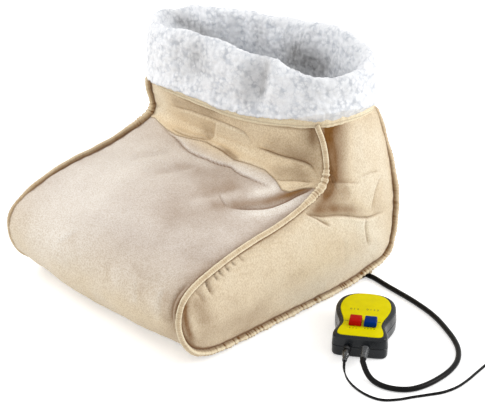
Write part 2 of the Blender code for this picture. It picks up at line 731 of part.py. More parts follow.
def boot_shell():
    for side, word in ((1, "right"), (-1, "left")):
        side_panel("side_panel_" + word, side, 0.0, PANEL_THICKNESS, 0.0, "side_suede")
        lining_depth = PANEL_THICKNESS + SIDE_LINING_GAP
        lining_inset = PANEL_THICKNESS + LINING_EDGE_GAP
        side_panel("lining_" + word, side, lining_depth, LINING_THICKNESS, lining_inset, "fleece")
        seam_binding("seam_binding_" + word, side)
    outer_inset = PANEL_THICKNESS + LAYER_GAP
    gusset_panel("shaft_front_panel", SHAFT_ROWS, SHAFT_COLUMNS, 0.0, PANEL_THICKNESS, outer_inset,
                 "side_suede")
    gusset_panel("vamp_panel", VAMP_ROWS, PANEL_COLUMNS, 0.0, PANEL_THICKNESS, outer_inset, "vamp_suede")
    gusset_panel("back_panel", BACK_ROWS, PANEL_COLUMNS, 0.0, PANEL_THICKNESS, outer_inset, "side_suede")
    depth = PANEL_THICKNESS + LAYER_GAP
    inner_inset = outer_inset + LINING_THICKNESS + SIDE_LINING_GAP
    for word, rows in (("shaft_front", SHAFT_ROWS), ("vamp", VAMP_ROWS), ("back", BACK_ROWS)):
        gusset_panel("lining_" + word, rows, PANEL_COLUMNS, depth, LINING_THICKNESS, inner_inset, "fleece")
    collar_and_cuff()


# Sole and what lies on it

FOAM_BOTTOM = SOLE_THICKNESS + LAYER_GAP
FOAM_TOP = FOAM_BOTTOM + FOAM_THICKNESS
PAD_BOTTOM = FOAM_TOP + PIECE_GAP
PAD_TOP = PAD_BOTTOM + PAD_THICKNESS
WIRE_HEIGHT = PAD_TOP + PIECE_GAP + WIRE_RADIUS
INSOLE_BOTTOM = WIRE_HEIGHT + WIRE_RADIUS + PIECE_GAP
MODULE_BOTTOM = FOAM_BOTTOM + LAYER_GAP
MOTOR_HEIGHT = MODULE_BOTTOM + MODULE_SIZE[2] / 2
SOLE_SIDE = SOLE_WIDTH / 2


def sole_stack():
    sole = block("sole_panel", (SOLE_WIDTH, SOLE_LENGTH, SOLE_THICKNESS), (0, SOLE_CENTRE_Y, SOLE_THICKNESS / 2),
                 "sole", SOLE_CORNER, edge=SOLE_EDGE)
    grommet_x = SOLE_SIDE - GROMMET_SIZE[0] / 2
    slot = [size + 2 * PIECE_GAP for size in GROMMET_SIZE]
    slot[0] += CUT_OVERRUN
    slot[2] = SOLE_THICKNESS + CUT_OVERRUN
    middle = (grommet_x + CUT_OVERRUN / 2, GROMMET_Y, slot[2] / 2 - CUT_OVERRUN / 2)
    cut(sole, guide(block("grommet_notch", slot, middle, None, collection=CUTTERS)))
    middle = (grommet_x, GROMMET_Y, GROMMET_SIZE[2] / 2 + PIECE_GAP)
    block("cable_grommet", GROMMET_SIZE, middle, "cable", GROMMET_CORNER)

    foam = block("foam_base", (FOAM_WIDTH, FOAM_LENGTH, FOAM_THICKNESS),
                 (0, FOAM_CENTRE_Y, FOAM_BOTTOM + FOAM_THICKNESS / 2), "foam", FOAM_CORNER)
    for side in (1, -1):
        size = [MODULE_SIZE[k] + 2 * MODULE_CLEARANCE for k in (0, 1)] + [FOAM_THICKNESS + 2 * CUT_OVERRUN]
        where = (side * MODULE_SPACING / 2, MODULE_CENTRE_Y, FOAM_BOTTOM + FOAM_THICKNESS / 2)
        cut(foam, guide(block("module_pocket_%d" % side, size, where, None, MODULE_CORNER, collection=CUTTERS)))
    pocket = [size + 2 * PIECE_GAP for size in CUT_OUT_SIZE]
    pocket[2] = CUT_OUT_SIZE[2] + PIECE_GAP + CUT_OVERRUN
    where = (0, FOAM_CENTRE_Y, FOAM_TOP - CUT_OUT_SIZE[2] - PIECE_GAP + pocket[2] / 2)
    cut(foam, guide(block("cut_out_pocket", pocket, where, None, collection=CUTTERS)))
    block("thermal_cut_out", CUT_OUT_SIZE, (0, FOAM_CENTRE_Y, FOAM_TOP - CUT_OUT_SIZE[2] / 2), "steel")

    block("heating_pad", (PAD_WIDTH, PAD_LENGTH, PAD_THICKNESS),
          (0, FOAM_CENTRE_Y, PAD_BOTTOM + PAD_THICKNESS / 2), "felt", PAD_CORNER)
    block("insole", (INSOLE_WIDTH, INSOLE_LENGTH, INSOLE_THICKNESS),
          (0, INSOLE_CENTRE_Y, INSOLE_BOTTOM + INSOLE_THICKNESS / 2), "fleece", INSOLE_CORNER,
          edge=INSOLE_THICKNESS / 4)
    heating_wire()


def heating_wire():
    """One unbroken wire in even runs across the pad, with half-round turns."""
    reach_x = PAD_WIDTH / 2 - WIRE_MARGIN
    reach_y = PAD_LENGTH / 2 - WIRE_MARGIN
    pitch = 2 * reach_y / (WIRE_RUNS - 1)
    turn = pitch / 2
    points = []
    for run in range(WIRE_RUNS):
        side = 1 if run % 2 else -1
        y = FOAM_CENTRE_Y - reach_y + run * pitch
        points.append((-side * (reach_x - turn), y, WIRE_HEIGHT))
        if run == WIRE_RUNS - 1:
            points.append((side * (reach_x - turn), y, WIRE_HEIGHT))
            break
        for angle in np.linspace(-math.pi / 2, math.pi / 2, WIRE_TURN_PLACES):
            out = reach_x - turn + turn * math.cos(angle)
            points.append((side * out, y + turn + turn * math.sin(angle), WIRE_HEIGHT))
    tube("heating_wire", points, WIRE_RADIUS, "heating_wire", WIRE_SIDES)


def massage_module(side, word):
    """A motor with an eccentric weight in a two-part housing, its shaft along X."""
    centre = Vector((side * MODULE_SPACING / 2, MODULE_CENTRE_Y, MOTOR_HEIGHT))
    half = MODULE_SIZE[2] / 2
    inner = [size - 2 * MODULE_WALL for size in MODULE_SIZE]
    for part, up in (("lower", -1), ("upper", 1)):
        size = (MODULE_SIZE[0], MODULE_SIZE[1], half - PIECE_GAP / 2)
        middle = centre + Vector((0, 0, up * (half + PIECE_GAP / 2) / 2))
        shell = block("motor_housing_%s_%s" % (part, word), size, middle, "motor_plastic", MODULE_CORNER)
        hollow = block("motor_hollow_%s_%s" % (part, word), inner, centre, None, MODULE_CORNER - MODULE_WALL,
                       collection=CUTTERS)
        cut(shell, guide(hollow))
    along_x = Matrix.Rotation(math.pi / 2, 4, "Y")
    frame = Matrix.Translation(centre) @ along_x
    low, high = MOTOR_OFFSET - MOTOR_LENGTH / 2, MOTOR_OFFSET + MOTOR_LENGTH / 2
    profile = ((MOTOR_BORE_RADIUS, high), (MOTOR_RADIUS, high), (MOTOR_RADIUS, low), (MOTOR_BORE_RADIUS, low))
    turned("motor_can_" + word, profile, "steel", frame)
    rod("motor_shaft_" + word, SHAFT_RADIUS, -SHAFT_LENGTH / 2, SHAFT_LENGTH / 2, "steel", frame,
        steps=SMALL_ROUND_STEPS)
    eccentric_weight("eccentric_weight_" + word, centre)


def eccentric_weight(name, centre):
    """A half disc on a hub, hanging below the shaft, with a hole for it."""
    data = bpy.data.curves.new(name, "CURVE")
    data.dimensions = "2D"
    data.fill_mode = "BOTH"
    data.extrude = WEIGHT_THICKNESS / 2

    def round_places(radius, angles):
        return [(radius * math.cos(a), radius * math.sin(a)) for a in angles]

    rim = round_places(WEIGHT_RADIUS, np.linspace(math.pi, 2 * math.pi, WEIGHT_RIM_PLACES))
    hub = round_places(WEIGHT_HUB_RADIUS, np.linspace(0, math.pi, WEIGHT_HUB_PLACES))
    bore = round_places(SHAFT_RADIUS + PIECE_GAP, np.linspace(2 * math.pi, 0, SMALL_ROUND_STEPS + 1)[:-1])
    for outline in (rim + hub, bore):
        spline = data.splines.new("POLY")
        spline.points.add(len(outline) - 1)
        spline.use_cyclic_u = True
        for point, (x, y) in zip(spline.points, outline):
            point.co = (x, y, 0.0, 1.0)
    shift = Vector((-SHAFT_LENGTH / 2 + WEIGHT_THICKNESS, 0, 0))
    facing = Matrix(((0, 0, 1), (1, 0, 0), (0, 1, 0))).to_4x4()
    place(name, data, "brass", Matrix.Translation(centre + shift) @ facing)


# Controller, drawn about its own middle with the cable end towards -Y

CONTROLLER = Matrix.Translation((CONTROLLER_X, CONTROLLER_Y, 0)) @ Matrix.Rotation(CONTROLLER_TURN, 4, "Z")
PORT_AXIS = Matrix.Rotation(math.pi / 2, 4, "X")
PLATE_TOP = CONTROLLER_HEIGHT + PLATE_PROUD
PLATE_BOTTOM = PLATE_TOP - PLATE_THICKNESS
CEILING = PLATE_BOTTOM - PIECE_GAP - CONTROLLER_WALL
BOARD_TOP = BOARD_HEIGHT + BOARD_THICKNESS
SWITCH_TOP = BOARD_TOP + PIECE_GAP + SWITCH_HEIGHT


def whole_outline(shares, half_wide, half_long):
    """A closed smooth outline from a half outline in shares."""
    half = np.array(shares) * (half_wide, half_long)
    spans = len(half) - 1
    right = [catmull(half, at)[0] for at in np.linspace(0, spans, OUTLINE_STEPS * spans + 1)]
    left = [p * (-1, 1) for p in right[-2:0:-1]]
    return np.array(right + left)


def stacked(name, outline, levels, finish, collection=None):
    """A solid whose level outlines are one outline drawn in by the inset given at each height."""
    outward = loop_ways_out(outline)
    build = bmesh.new()
    rings = []
    for height, inset in levels:
        rings.append([build.verts.new((*(p - out * inset), height)) for p, out in zip(outline, outward)])
    for ring, above in zip(rings, rings[1:]):
        for j in range(len(ring)):
            k = (j + 1) % len(ring)
            build.faces.new((ring[j], ring[k], above[k], above[j]))
    build.faces.new(rings[0])
    build.faces.new(rings[-1])
    return mesh_from(build, name, finish, CONTROLLER, collection)


def at_port(x):
    """The frame of a port in the cable end's face: its Z runs out of the controller."""
    return CONTROLLER @ Matrix.Translation((x, -CONTROLLER_HALF_LENGTH, PORT_HEIGHT)) @ PORT_AXIS


def controller():
    outline = whole_outline(HOUSING_SHARES, CONTROLLER_HALF_WIDTH, CONTROLLER_HALF_LENGTH)
    plate_outline = whole_outline(PLATE_SHARES, PLATE_HALF_WIDTH, PLATE_HALF_LENGTH)
    bottom = stacked(
        "controller_housing_bottom", outline,
        ((0.0, SHELL_ROUNDING), (SHELL_ROUNDING / 2, SHELL_ROUNDING / 3), (SHELL_ROUNDING, SHELL_TAPER / 2),
         (PARTING_HEIGHT, 0.0)),
        "black_plastic",
    )
    low = PARTING_HEIGHT + PIECE_GAP
    top = stacked(
        "controller_housing_top", outline,
        ((low, 0.0), (CONTROLLER_HEIGHT - SHELL_ROUNDING, SHELL_TAPER),
         (CONTROLLER_HEIGHT - SHELL_ROUNDING / 3, SHELL_ROUNDING / 2), (CONTROLLER_HEIGHT, SHELL_ROUNDING)),
        "black_plastic",
    )
    wall = CONTROLLER_WALL + SHELL_TAPER
    for shell, heights, word in (
        (bottom, (CONTROLLER_WALL, PARTING_HEIGHT + CUT_OVERRUN), "bottom"),
        (top, (low - CUT_OVERRUN, CEILING), "top"),
    ):
        cut(shell, guide(stacked("hollow_" + word, outline, [(h, wall) for h in heights], None, CUTTERS)))
    recess = [(PLATE_BOTTOM - PIECE_GAP, -PIECE_GAP), (CONTROLLER_HEIGHT + CUT_OVERRUN, -PIECE_GAP)]
    cut(top, guide(stacked("plate_recess", plate_outline, recess, None, CUTTERS)))
    plate = stacked(
        "controller_faceplate", plate_outline,
        ((PLATE_BOTTOM, 0.0), (PLATE_TOP - PLATE_ROUNDING, 0.0), (PLATE_TOP, PLATE_ROUNDING)), "yellow_plate",
    )
    for x, radius, word in ((RELIEF_X, RELIEF_ROOT_RADIUS, "relief"), (JACK_X, JACK_RADIUS, "jack")):
        clear = radius + PIECE_GAP
        hole = guide(rod(word + "_hole", clear, -CUT_OVERRUN * 2, CUT_OVERRUN, None, at_port(x), CUTTERS))
        cut(bottom, hole)
        cut(top, hole)
    for k, (share_x, share_y) in enumerate(SCREW_PLACES_SHARES):
        screw_and_boss(k + 1, share_x * CONTROLLER_HALF_WIDTH, share_y * CONTROLLER_HALF_LENGTH, bottom, top)
    block("circuit_board", (2 * BOARD_HALF_WIDTH, 2 * BOARD_HALF_LENGTH, BOARD_THICKNESS),
          (0, BOARD_CENTRE_Y, BOARD_HEIGHT + BOARD_THICKNESS / 2), "board", matrix=CONTROLLER)
    for sign, word in ((-1, "red"), (1, "blue")):
        slide_switch(KNOB_SHIFT_X + sign * KNOB_SPACING / 2, word, top, plate)
    ports()


def screw_and_boss(number, x, y, bottom, top):
    """A self-tapping screw from below, through the bottom shell into a boss of the top shell."""
    here = CONTROLLER @ Matrix.Translation((x, y, 0))
    head_top = SCREW_SINK + SCREW_HEAD_HEIGHT
    screw_top = head_top + SCREW_LENGTH
    profile = (
        (0.0, screw_top), (SCREW_RADIUS, screw_top), (SCREW_RADIUS, head_top), (SCREW_HEAD_RADIUS, head_top),
        (SCREW_HEAD_RADIUS, SCREW_SINK), (0.0, SCREW_SINK),
    )
    turned("housing_screw_%d" % number, profile, "steel", here, steps=SCREW_STEPS)

    def shape(shell, word, radius, bottom_height, top_height, steps, operation="DIFFERENCE"):
        helper = rod("%s_%d" % (word, number), radius, bottom_height, top_height, None, here, CUTTERS, steps)
        cut(shell, guide(helper), operation)

    post_top = head_top + PIECE_GAP + CONTROLLER_WALL
    boss_foot = max(BOSS_FOOT, post_top + PIECE_GAP)
    boss_top = CEILING + CONTROLLER_WALL / 4
    post_radius = BOSS_RADIUS + PIECE_GAP
    shape(bottom, "floor_post", post_radius, CONTROLLER_WALL / 2, post_top, SMALL_ROUND_STEPS, "UNION")
    shape(top, "boss", BOSS_RADIUS, boss_foot, boss_top, SMALL_ROUND_STEPS, "UNION")
    sink_radius = SCREW_HEAD_RADIUS + PIECE_GAP
    shape(bottom, "head_sink", sink_radius, -CUT_OVERRUN, head_top + PIECE_GAP, SCREW_STEPS)
    clear = SCREW_RADIUS + PIECE_GAP
    shape(bottom, "screw_way", clear, 0, post_top + CUT_OVERRUN / 2, SCREW_STEPS)
    shape(top, "pilot", clear, boss_foot - CUT_OVERRUN, screw_top + PIECE_GAP, SCREW_STEPS)


def slide_switch(x, word, top, plate):
    """A three-position slide switch on the board, and its knob through the top shell and the faceplate."""
    slot = (STEM_WIDTH + 2 * PIECE_GAP, STEM_LENGTH + 2 * KNOB_TRAVEL + 2 * PIECE_GAP, CONTROLLER_HEIGHT)
    middle = (x, KNOB_CENTRE_Y, CEILING + slot[2] / 2 - CUT_OVERRUN / 2)
    window = guide(block("slot_" + word, slot, middle, None, matrix=CONTROLLER, collection=CUTTERS))
    cut(top, window)
    cut(plate, window)
    block(word + "_switch_body", (SWITCH_WIDTH, SWITCH_LENGTH, SWITCH_HEIGHT),
          (x, KNOB_CENTRE_Y, SWITCH_TOP - SWITCH_HEIGHT / 2), "black_plastic", matrix=CONTROLLER)
    here = CONTROLLER @ Matrix.Translation((x, KNOB_CENTRE_Y, 0))
    cap_low = PLATE_TOP + PIECE_GAP
    knob = block(word + "_switch_knob", (KNOB_WIDTH, KNOB_LENGTH, KNOB_HEIGHT),
                 (0, 0, cap_low + KNOB_HEIGHT / 2), word + "_knob", KNOB_ROUNDING, here, KNOB_EDGE)
    stem_low = SWITCH_TOP + PIECE_GAP
    stem_high = cap_low + KNOB_HEIGHT / 2
    stem = block("stem_" + word, (STEM_WIDTH, STEM_LENGTH, stem_high - stem_low),
                 (0, 0, (stem_low + stem_high) / 2), None, matrix=here, collection=CUTTERS)
    cut(knob, guide(stem), "UNION")


def ports():
    """The ribbed strain relief of the control cable, the socket of the lead's plug, and the plug in it."""
    root, tip = RELIEF_ROOT_RADIUS, RELIEF_TIP_RADIUS
    wall_inside = -CONTROLLER_WALL - SHELL_TAPER - PIECE_GAP
    profile = [(0.0, wall_inside - FLANGE_THICKNESS), (FLANGE_RADIUS, wall_inside - FLANGE_THICKNESS),
               (FLANGE_RADIUS, wall_inside), (root, wall_inside), (root, PIECE_GAP)]
    pitch = RELIEF_LENGTH / (RELIEF_RIBS + 1)
    for k in range(RELIEF_RIBS):
        here = root + (tip - root) * (k + 1) / RELIEF_RIBS
        profile += [(here - RIB_DEPTH, (k + RIB_VALLEY_SHARE) * pitch), (here, (k + 1) * pitch)]
    profile += [(tip, RELIEF_LENGTH), (0.0, RELIEF_LENGTH)]
    turned("cable_strain_relief", profile[::-1], "cable", at_port(RELIEF_X))

    floor = -JACK_LENGTH + CONTROLLER_WALL
    profile = (
        (0.0, -JACK_PIN_SET_BACK), (JACK_PIN_RADIUS, -JACK_PIN_SET_BACK), (JACK_PIN_RADIUS, floor),
        (JACK_BORE_RADIUS, floor), (JACK_BORE_RADIUS, 0.0), (JACK_RADIUS, 0.0), (JACK_RADIUS, -JACK_LENGTH),
        (0.0, -JACK_LENGTH),
    )
    turned("dc_jack", profile, "black_plastic", at_port(JACK_X))
    profile = (
        (BARREL_RADIUS, 0.0), (BARREL_RADIUS, -BARREL_LENGTH), (BARREL_BORE_RADIUS, -BARREL_LENGTH),
        (BARREL_BORE_RADIUS, 0.0),
    )
    turned("dc_plug_barrel", profile, "steel", at_port(JACK_X))
    profile = [(0.0, PIECE_GAP)]
    profile += [(GRIP_RADIUS * wide, PIECE_GAP + GRIP_LENGTH * along) for along, wide in GRIP_SHARES]
    profile += [(GRIP_TIP_RADIUS, PIECE_GAP + GRIP_LENGTH), (0.0, PIECE_GAP + GRIP_LENGTH)]
    turned("dc_plug_grip", profile[::-1], "cable", at_port(JACK_X))


# Cable and lead


def cord_points(start, start_way, places, end, end_way, radius):
    """Places along a cord that leaves both its tips straight, along their ways, and follows the chosen places."""
    straight = 2 * radius
    first = np.array(start) + np.array(start_way) * straight
    last = np.array(end) + np.array(end_way) * straight
    between = smooth_route([first, *places, last], straight * CORD_STEP_DIAMETERS)
    points = np.concatenate([[start], between, [end]])
    return points, np.linalg.norm(np.diff(points, axis=0), axis=1).sum()


def port_tip(x, reach):
    frame = at_port(x)
    return np.array(frame @ Vector((0, 0, reach))), np.array(frame.to_3x3() @ Vector((0, 0, 1)))


def coil_points():
    """The wound part of the lead: it spirals in and out by turns, and climbs a layer where it reverses."""
    turns = COIL_LAYERS * COIL_TURNS_A_LAYER
    first_height = TIE_THICKNESS + 2 * PIECE_GAP + LEAD_RADIUS
    points = []
    count = round(turns * COIL_POINTS_A_TURN)
    for k in range(count + 1):
        turn = turns * k / count
        along = turn / COIL_TURNS_A_LAYER
        layer = min(int(along), COIL_LAYERS - 1)
        share = along - layer
        inward = share if layer % 2 == 0 else 1 - share
        radius = COIL_OUTER_RADIUS - COIL_TURN_PITCH * COIL_TURNS_A_LAYER * inward
        nearest = round(along)
        offset = (along - nearest) * COIL_TURNS_A_LAYER
        climb = min(max(offset * 2 + 0.5, 0.0), 1.0)
        level = nearest - 1 + climb * climb * (3 - 2 * climb) if 0 < nearest < COIL_LAYERS else layer
        angle = math.pi - 2 * math.pi * turn
        points.append((COIL_X + radius * math.cos(angle), COIL_Y + radius * math.sin(angle),
                       first_height + COIL_LAYER_PITCH * level))
    straight = 2 * LEAD_RADIUS
    start, end = np.array(points[0]), np.array(points[-1])
    return [tuple(start - (0, straight, 0))] + points + [tuple(end + (0, straight, 0))]


def cables():
    tip, way = port_tip(RELIEF_X, RELIEF_LENGTH + PIECE_GAP)
    root = (SOLE_SIDE + PIECE_GAP, GROMMET_Y, CABLE_ROUTE[0][2])
    points, length = cord_points(root, (1, 0, 0), CABLE_ROUTE, tip, way, CABLE_RADIUS)
    tube("control_cable", points, CABLE_RADIUS, "cable", CABLE_SIDES)
    print("control cable, metres:", round(length, 3))

    coil = coil_points()
    gap = least_gap(coil, LEAD_RADIUS, 8 * LEAD_RADIUS)
    print("the coil's least gap to itself, millimetres:", round(gap / MM, 2), "of at least", COIL_LEAST_GAP / MM)
    tube("adaptor_lead_coil", coil, LEAD_RADIUS, "cable", COIL_SIDES)

    tip, way = port_tip(JACK_X, GRIP_LENGTH + 2 * PIECE_GAP)
    entry = np.array(coil[0]) - (0, PIECE_GAP, 0)
    points, length = cord_points(tip, way, LEAD_ROUTE, entry, (0, -1, 0), LEAD_RADIUS)
    tube("adaptor_lead", points, LEAD_RADIUS, "cable", CABLE_SIDES)
    wound = np.linalg.norm(np.diff(np.array(coil), axis=0), axis=1).sum()

    leave = np.array(coil[-1]) + (0, PIECE_GAP, 0)
    end_y = ADAPTOR_Y - ADAPTOR_SIZE[1] / 2 - ADAPTOR_RELIEF_LENGTH - PIECE_GAP
    end = (ADAPTOR_X, end_y, ADAPTOR_SIZE[2] / 2)
    points, tail = cord_points(leave, (0, 1, 0), TAIL_ROUTE, end, (0, -1, 0), LEAD_RADIUS)
    tube("adaptor_lead_tail", points, LEAD_RADIUS, "cable", CABLE_SIDES)
    print("adaptor lead, metres:", round(length, 3), "+", round(wound, 3), "+", round(tail, 3))
    lead_tie()


def lead_tie():
    """A flat strap round the coil's turns on the side away from the boot."""
    inner_reach = COIL_OUTER_RADIUS - COIL_TURN_PITCH * COIL_TURNS_A_LAYER - LEAD_RADIUS - 2 * PIECE_GAP
    outer_reach = COIL_OUTER_RADIUS + LEAD_RADIUS + 2 * PIECE_GAP
    low = TIE_THICKNESS
    high = TIE_THICKNESS + 4 * PIECE_GAP + 2 * LEAD_RADIUS + COIL_LAYER_PITCH * (COIL_LAYERS - 1)
    size = (outer_reach - inner_reach + 2 * TIE_THICKNESS, TIE_WIDTH, high - low + 2 * TIE_THICKNESS)
    centre = (COIL_X + (inner_reach + outer_reach) / 2, COIL_Y, (low + high) / 2)
    strap = block("lead_tie", size, centre, "cable")
    inside = (outer_reach - inner_reach, TIE_WIDTH + 2 * CUT_OVERRUN, high - low)
    cut(strap, guide(block("tie_inside", inside, centre, None, collection=CUTTERS)))


# Mains adaptor, lying on its broad face with its pins up


def adaptor():
    width, length, height = ADAPTOR_SIZE
    centre = Vector((ADAPTOR_X, ADAPTOR_Y, height / 2))
    inner = [size - 2 * ADAPTOR_WALL for size in ADAPTOR_SIZE]
    relief = Matrix.Translation((ADAPTOR_X, ADAPTOR_Y - length / 2, height / 2)) @ PORT_AXIS
    clear = ADAPTOR_RELIEF_RADIUS + PIECE_GAP
    hole = guide(rod("adaptor_hole", clear, -CUT_OVERRUN, CUT_OVERRUN, None, relief, CUTTERS))
    shells = []
    for word, up in (("front", -1), ("back", 1)):
        size = (width, length, (height - PIECE_GAP) / 2)
        middle = centre + Vector((0, 0, up * (height + PIECE_GAP) / 4))
        shell = block("adaptor_case_" + word, size, middle, "adaptor_plastic", ADAPTOR_CORNER)
        hollow = block("adaptor_hollow_" + word, inner, centre, None, ADAPTOR_CORNER - ADAPTOR_WALL,
                       collection=CUTTERS)
        cut(shell, guide(hollow))
        cut(shell, hole)
        shells.append(shell)
    block("transformer", TRANSFORMER_SIZE,
          (ADAPTOR_X, ADAPTOR_Y, ADAPTOR_WALL + PIECE_GAP + TRANSFORMER_SIZE[2] / 2), "steel")
    root = ADAPTOR_RELIEF_RADIUS
    inside = -ADAPTOR_WALL - PIECE_GAP
    profile = (
        (0.0, ADAPTOR_RELIEF_LENGTH), (ADAPTOR_RELIEF_TIP_RADIUS, ADAPTOR_RELIEF_LENGTH), (root, ADAPTOR_WALL),
        (root, inside), (ADAPTOR_FLANGE_RADIUS, inside), (ADAPTOR_FLANGE_RADIUS, -2 * ADAPTOR_WALL),
        (0.0, -2 * ADAPTOR_WALL),
    )
    turned("adaptor_strain_relief", profile, "cable", relief, steps=SMALL_ROUND_STEPS)
    for number, side in ((1, -1), (2, 1)):
        here = Matrix.Translation((ADAPTOR_X + side * PIN_SPACING / 2, ADAPTOR_Y + PIN_CENTRE_Y, height))
        clear = PIN_RADIUS + PIECE_GAP
        hole = rod("pin_hole_%d" % number, clear, -CUT_OVERRUN, CUT_OVERRUN, None, here, CUTTERS,
                   SMALL_ROUND_STEPS)
        cut(shells[1], guide(hole))
        foot = -ADAPTOR_WALL - PIN_ROOT
        profile = (
            (0.0, PIN_LENGTH), (PIN_TIP_RADIUS, PIN_LENGTH), (PIN_RADIUS, PIN_LENGTH - PIN_RADIUS),
            (PIN_RADIUS, inside), (PIN_RADIUS + PIN_ROOT, inside), (PIN_RADIUS + PIN_ROOT, foot), (0.0, foot),
        )
        turned("mains_pin_%d" % number, profile, "steel", here, steps=SMALL_ROUND_STEPS)


clear_scene()
PARTS = new_collection("electric_foot_warmer")
CUTTERS = new_collection("cutters")
boot_shell()
sole_stack()
massage_module(1, "right")
massage_module(-1, "left")
controller()
cables()
adaptor()
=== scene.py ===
"""Electric foot warmer: the looks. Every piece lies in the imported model's frame, in metres."""
import json
import math

import bmesh
import bpy
import numpy as np
from mathutils import Matrix, Vector, noise


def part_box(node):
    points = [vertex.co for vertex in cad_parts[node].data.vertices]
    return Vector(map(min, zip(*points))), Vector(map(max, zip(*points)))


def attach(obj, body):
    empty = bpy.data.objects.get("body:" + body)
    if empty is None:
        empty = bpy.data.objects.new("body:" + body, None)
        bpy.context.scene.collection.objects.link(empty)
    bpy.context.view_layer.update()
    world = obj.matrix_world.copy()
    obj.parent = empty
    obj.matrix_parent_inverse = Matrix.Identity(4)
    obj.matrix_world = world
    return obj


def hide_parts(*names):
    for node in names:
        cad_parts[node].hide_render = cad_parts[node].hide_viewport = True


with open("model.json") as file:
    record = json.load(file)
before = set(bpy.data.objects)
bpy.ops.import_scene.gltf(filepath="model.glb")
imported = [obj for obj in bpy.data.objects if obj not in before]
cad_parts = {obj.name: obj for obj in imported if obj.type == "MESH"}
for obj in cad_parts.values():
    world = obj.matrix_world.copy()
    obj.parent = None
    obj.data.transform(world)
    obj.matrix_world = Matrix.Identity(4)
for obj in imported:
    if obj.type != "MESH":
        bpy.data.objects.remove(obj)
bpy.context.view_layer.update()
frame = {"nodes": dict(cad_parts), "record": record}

MM = 0.001
BODY = "boot"

# Camera: the photograph's place, and its focal length for a frame 485 pixels wide
CAMERA_PLACE = (1.0773, -1.0000, 0.8050)
CAMERA_AZIMUTH = math.radians(45.888)
CAMERA_ELEVATION = math.radians(26.302)
CAMERA_LENS = 108.9
SENSOR_WIDTH = 36.0
FRAME_WIDTH = 485
FRAME_HEIGHT = 405

# Sizes and places repeated from the CAD source, which this script can't read
BOOT_LENGTH = 0.328
SEAM_WIDTH = 0.289
COLLAR_HEIGHT = 0.190
COLLAR_TAPER = 0.0225
TAPER_START = 0.090
SIDE_BULGE = 0.011
BULGE_REACH = 0.060
GUSSET_CROWN = 0.020
CROWN_POWER = 2.3
COLLAR_LEAN = 0.0155
LEAN_START = 0.130
PANEL_THICKNESS = 0.006
LINING_THICKNESS = 0.007
SIDE_LINING_GAP = 0.0010
LINING_EDGE_GAP = 0.0024
LAYER_GAP = 0.0006
PIECE_GAP = 0.0003
BINDING_RADIUS = 0.0034
BINDING_GAP = 0.0007
COLLAR_BINDING_HEIGHT = 0.010
COLLAR_BINDING_THICKNESS = 0.008
COLLAR_BINDING_PROUD = 0.0015
CUFF_HEIGHT = 0.066
CUFF_THICKNESS = 0.019
CUFF_PROUD = 0.010
CUFF_FOOT_PROUD = 0.004
CUFF_FOLD_DEPTH = 0.006
CUFF_FOLD_WIDTH_SHARE = 0.030
SOLE_SIZE = (0.279, 0.2565, 0.006)
SOLE_PLACE = (0.0, -0.00675, 0.003)
INSOLE_SIZE = (0.258, 0.268, 0.008)
INSOLE_PLACE = tuple(np.mean(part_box("insole"), axis=0))

# The cloth's top edge rises a little over the right side: how far, about where, and how far round that reaches
COLLAR_RISE = 0.0042
COLLAR_RISE_PLACE = (0.124, 0.072)
COLLAR_RISE_REACH = (0.035, 0.055)

# Side seam, from the collar's front round the toe, sole and heel to the collar's rear:
# share of BOOT_LENGTH along Y, share of COLLAR_HEIGHT along Z, share of GUSSET_CROWN
SEAM_SHARES = (
    (0.073, 1.000, 1.00), (0.082, 0.931, 0.92), (0.094, 0.830, 0.75), (0.093, 0.766, 0.62), (0.070, 0.718, 0.55),
    (0.024, 0.686, 0.55), (-0.046, 0.649, 0.60), (-0.137, 0.617, 0.65), (-0.244, 0.596, 0.65), (-0.335, 0.569, 0.60),
    (-0.412, 0.537, 0.52), (-0.476, 0.503, 0.44), (-0.527, 0.452, 0.36), (-0.553, 0.383, 0.30), (-0.558, 0.293, 0.26),
    (-0.543, 0.197, 0.28), (-0.509, 0.112, 0.34), (-0.463, 0.059, 0.42), (-0.396, 0.032, 0.48), (-0.274, 0.023, 0.00),
    (-0.091, 0.022, 0.00), (0.091, 0.022, 0.00), (0.213, 0.024, 0.00), (0.274, 0.041, 0.00), (0.320, 0.057, 0.02),
    (0.378, 0.078, 0.10), (0.419, 0.130, 0.20), (0.436, 0.223, 0.34), (0.442, 0.330, 0.45), (0.441, 0.452, 0.55),
    (0.434, 0.585, 0.62), (0.427, 0.718, 0.68), (0.419, 0.862, 0.75), (0.412, 1.000, 0.80),
)
SHAFT_ROWS = (0.0, 4.0)
VAMP_ROWS = (4.0, 17.6)
BACK_ROWS = (24.4, 33.0)
BACK_CLOTH_FOOT = 23.5
SIDE_CENTRE_SHARES = (0.20, 0.37)
# share of the way round the collar from its right front corner, over the front, and share of CUFF_FOLD_DEPTH
CUFF_FOLD_SHARES = (
    (0.04, 0.4), (0.105, 1.0), (0.17, 0.4), (0.235, 0.7), (0.31, 0.4), (0.42, 0.5), (0.51, 0.9), (0.60, 0.6),
    (0.70, 0.9), (0.80, 0.6), (0.90, 0.6), (0.96, 0.5),
)
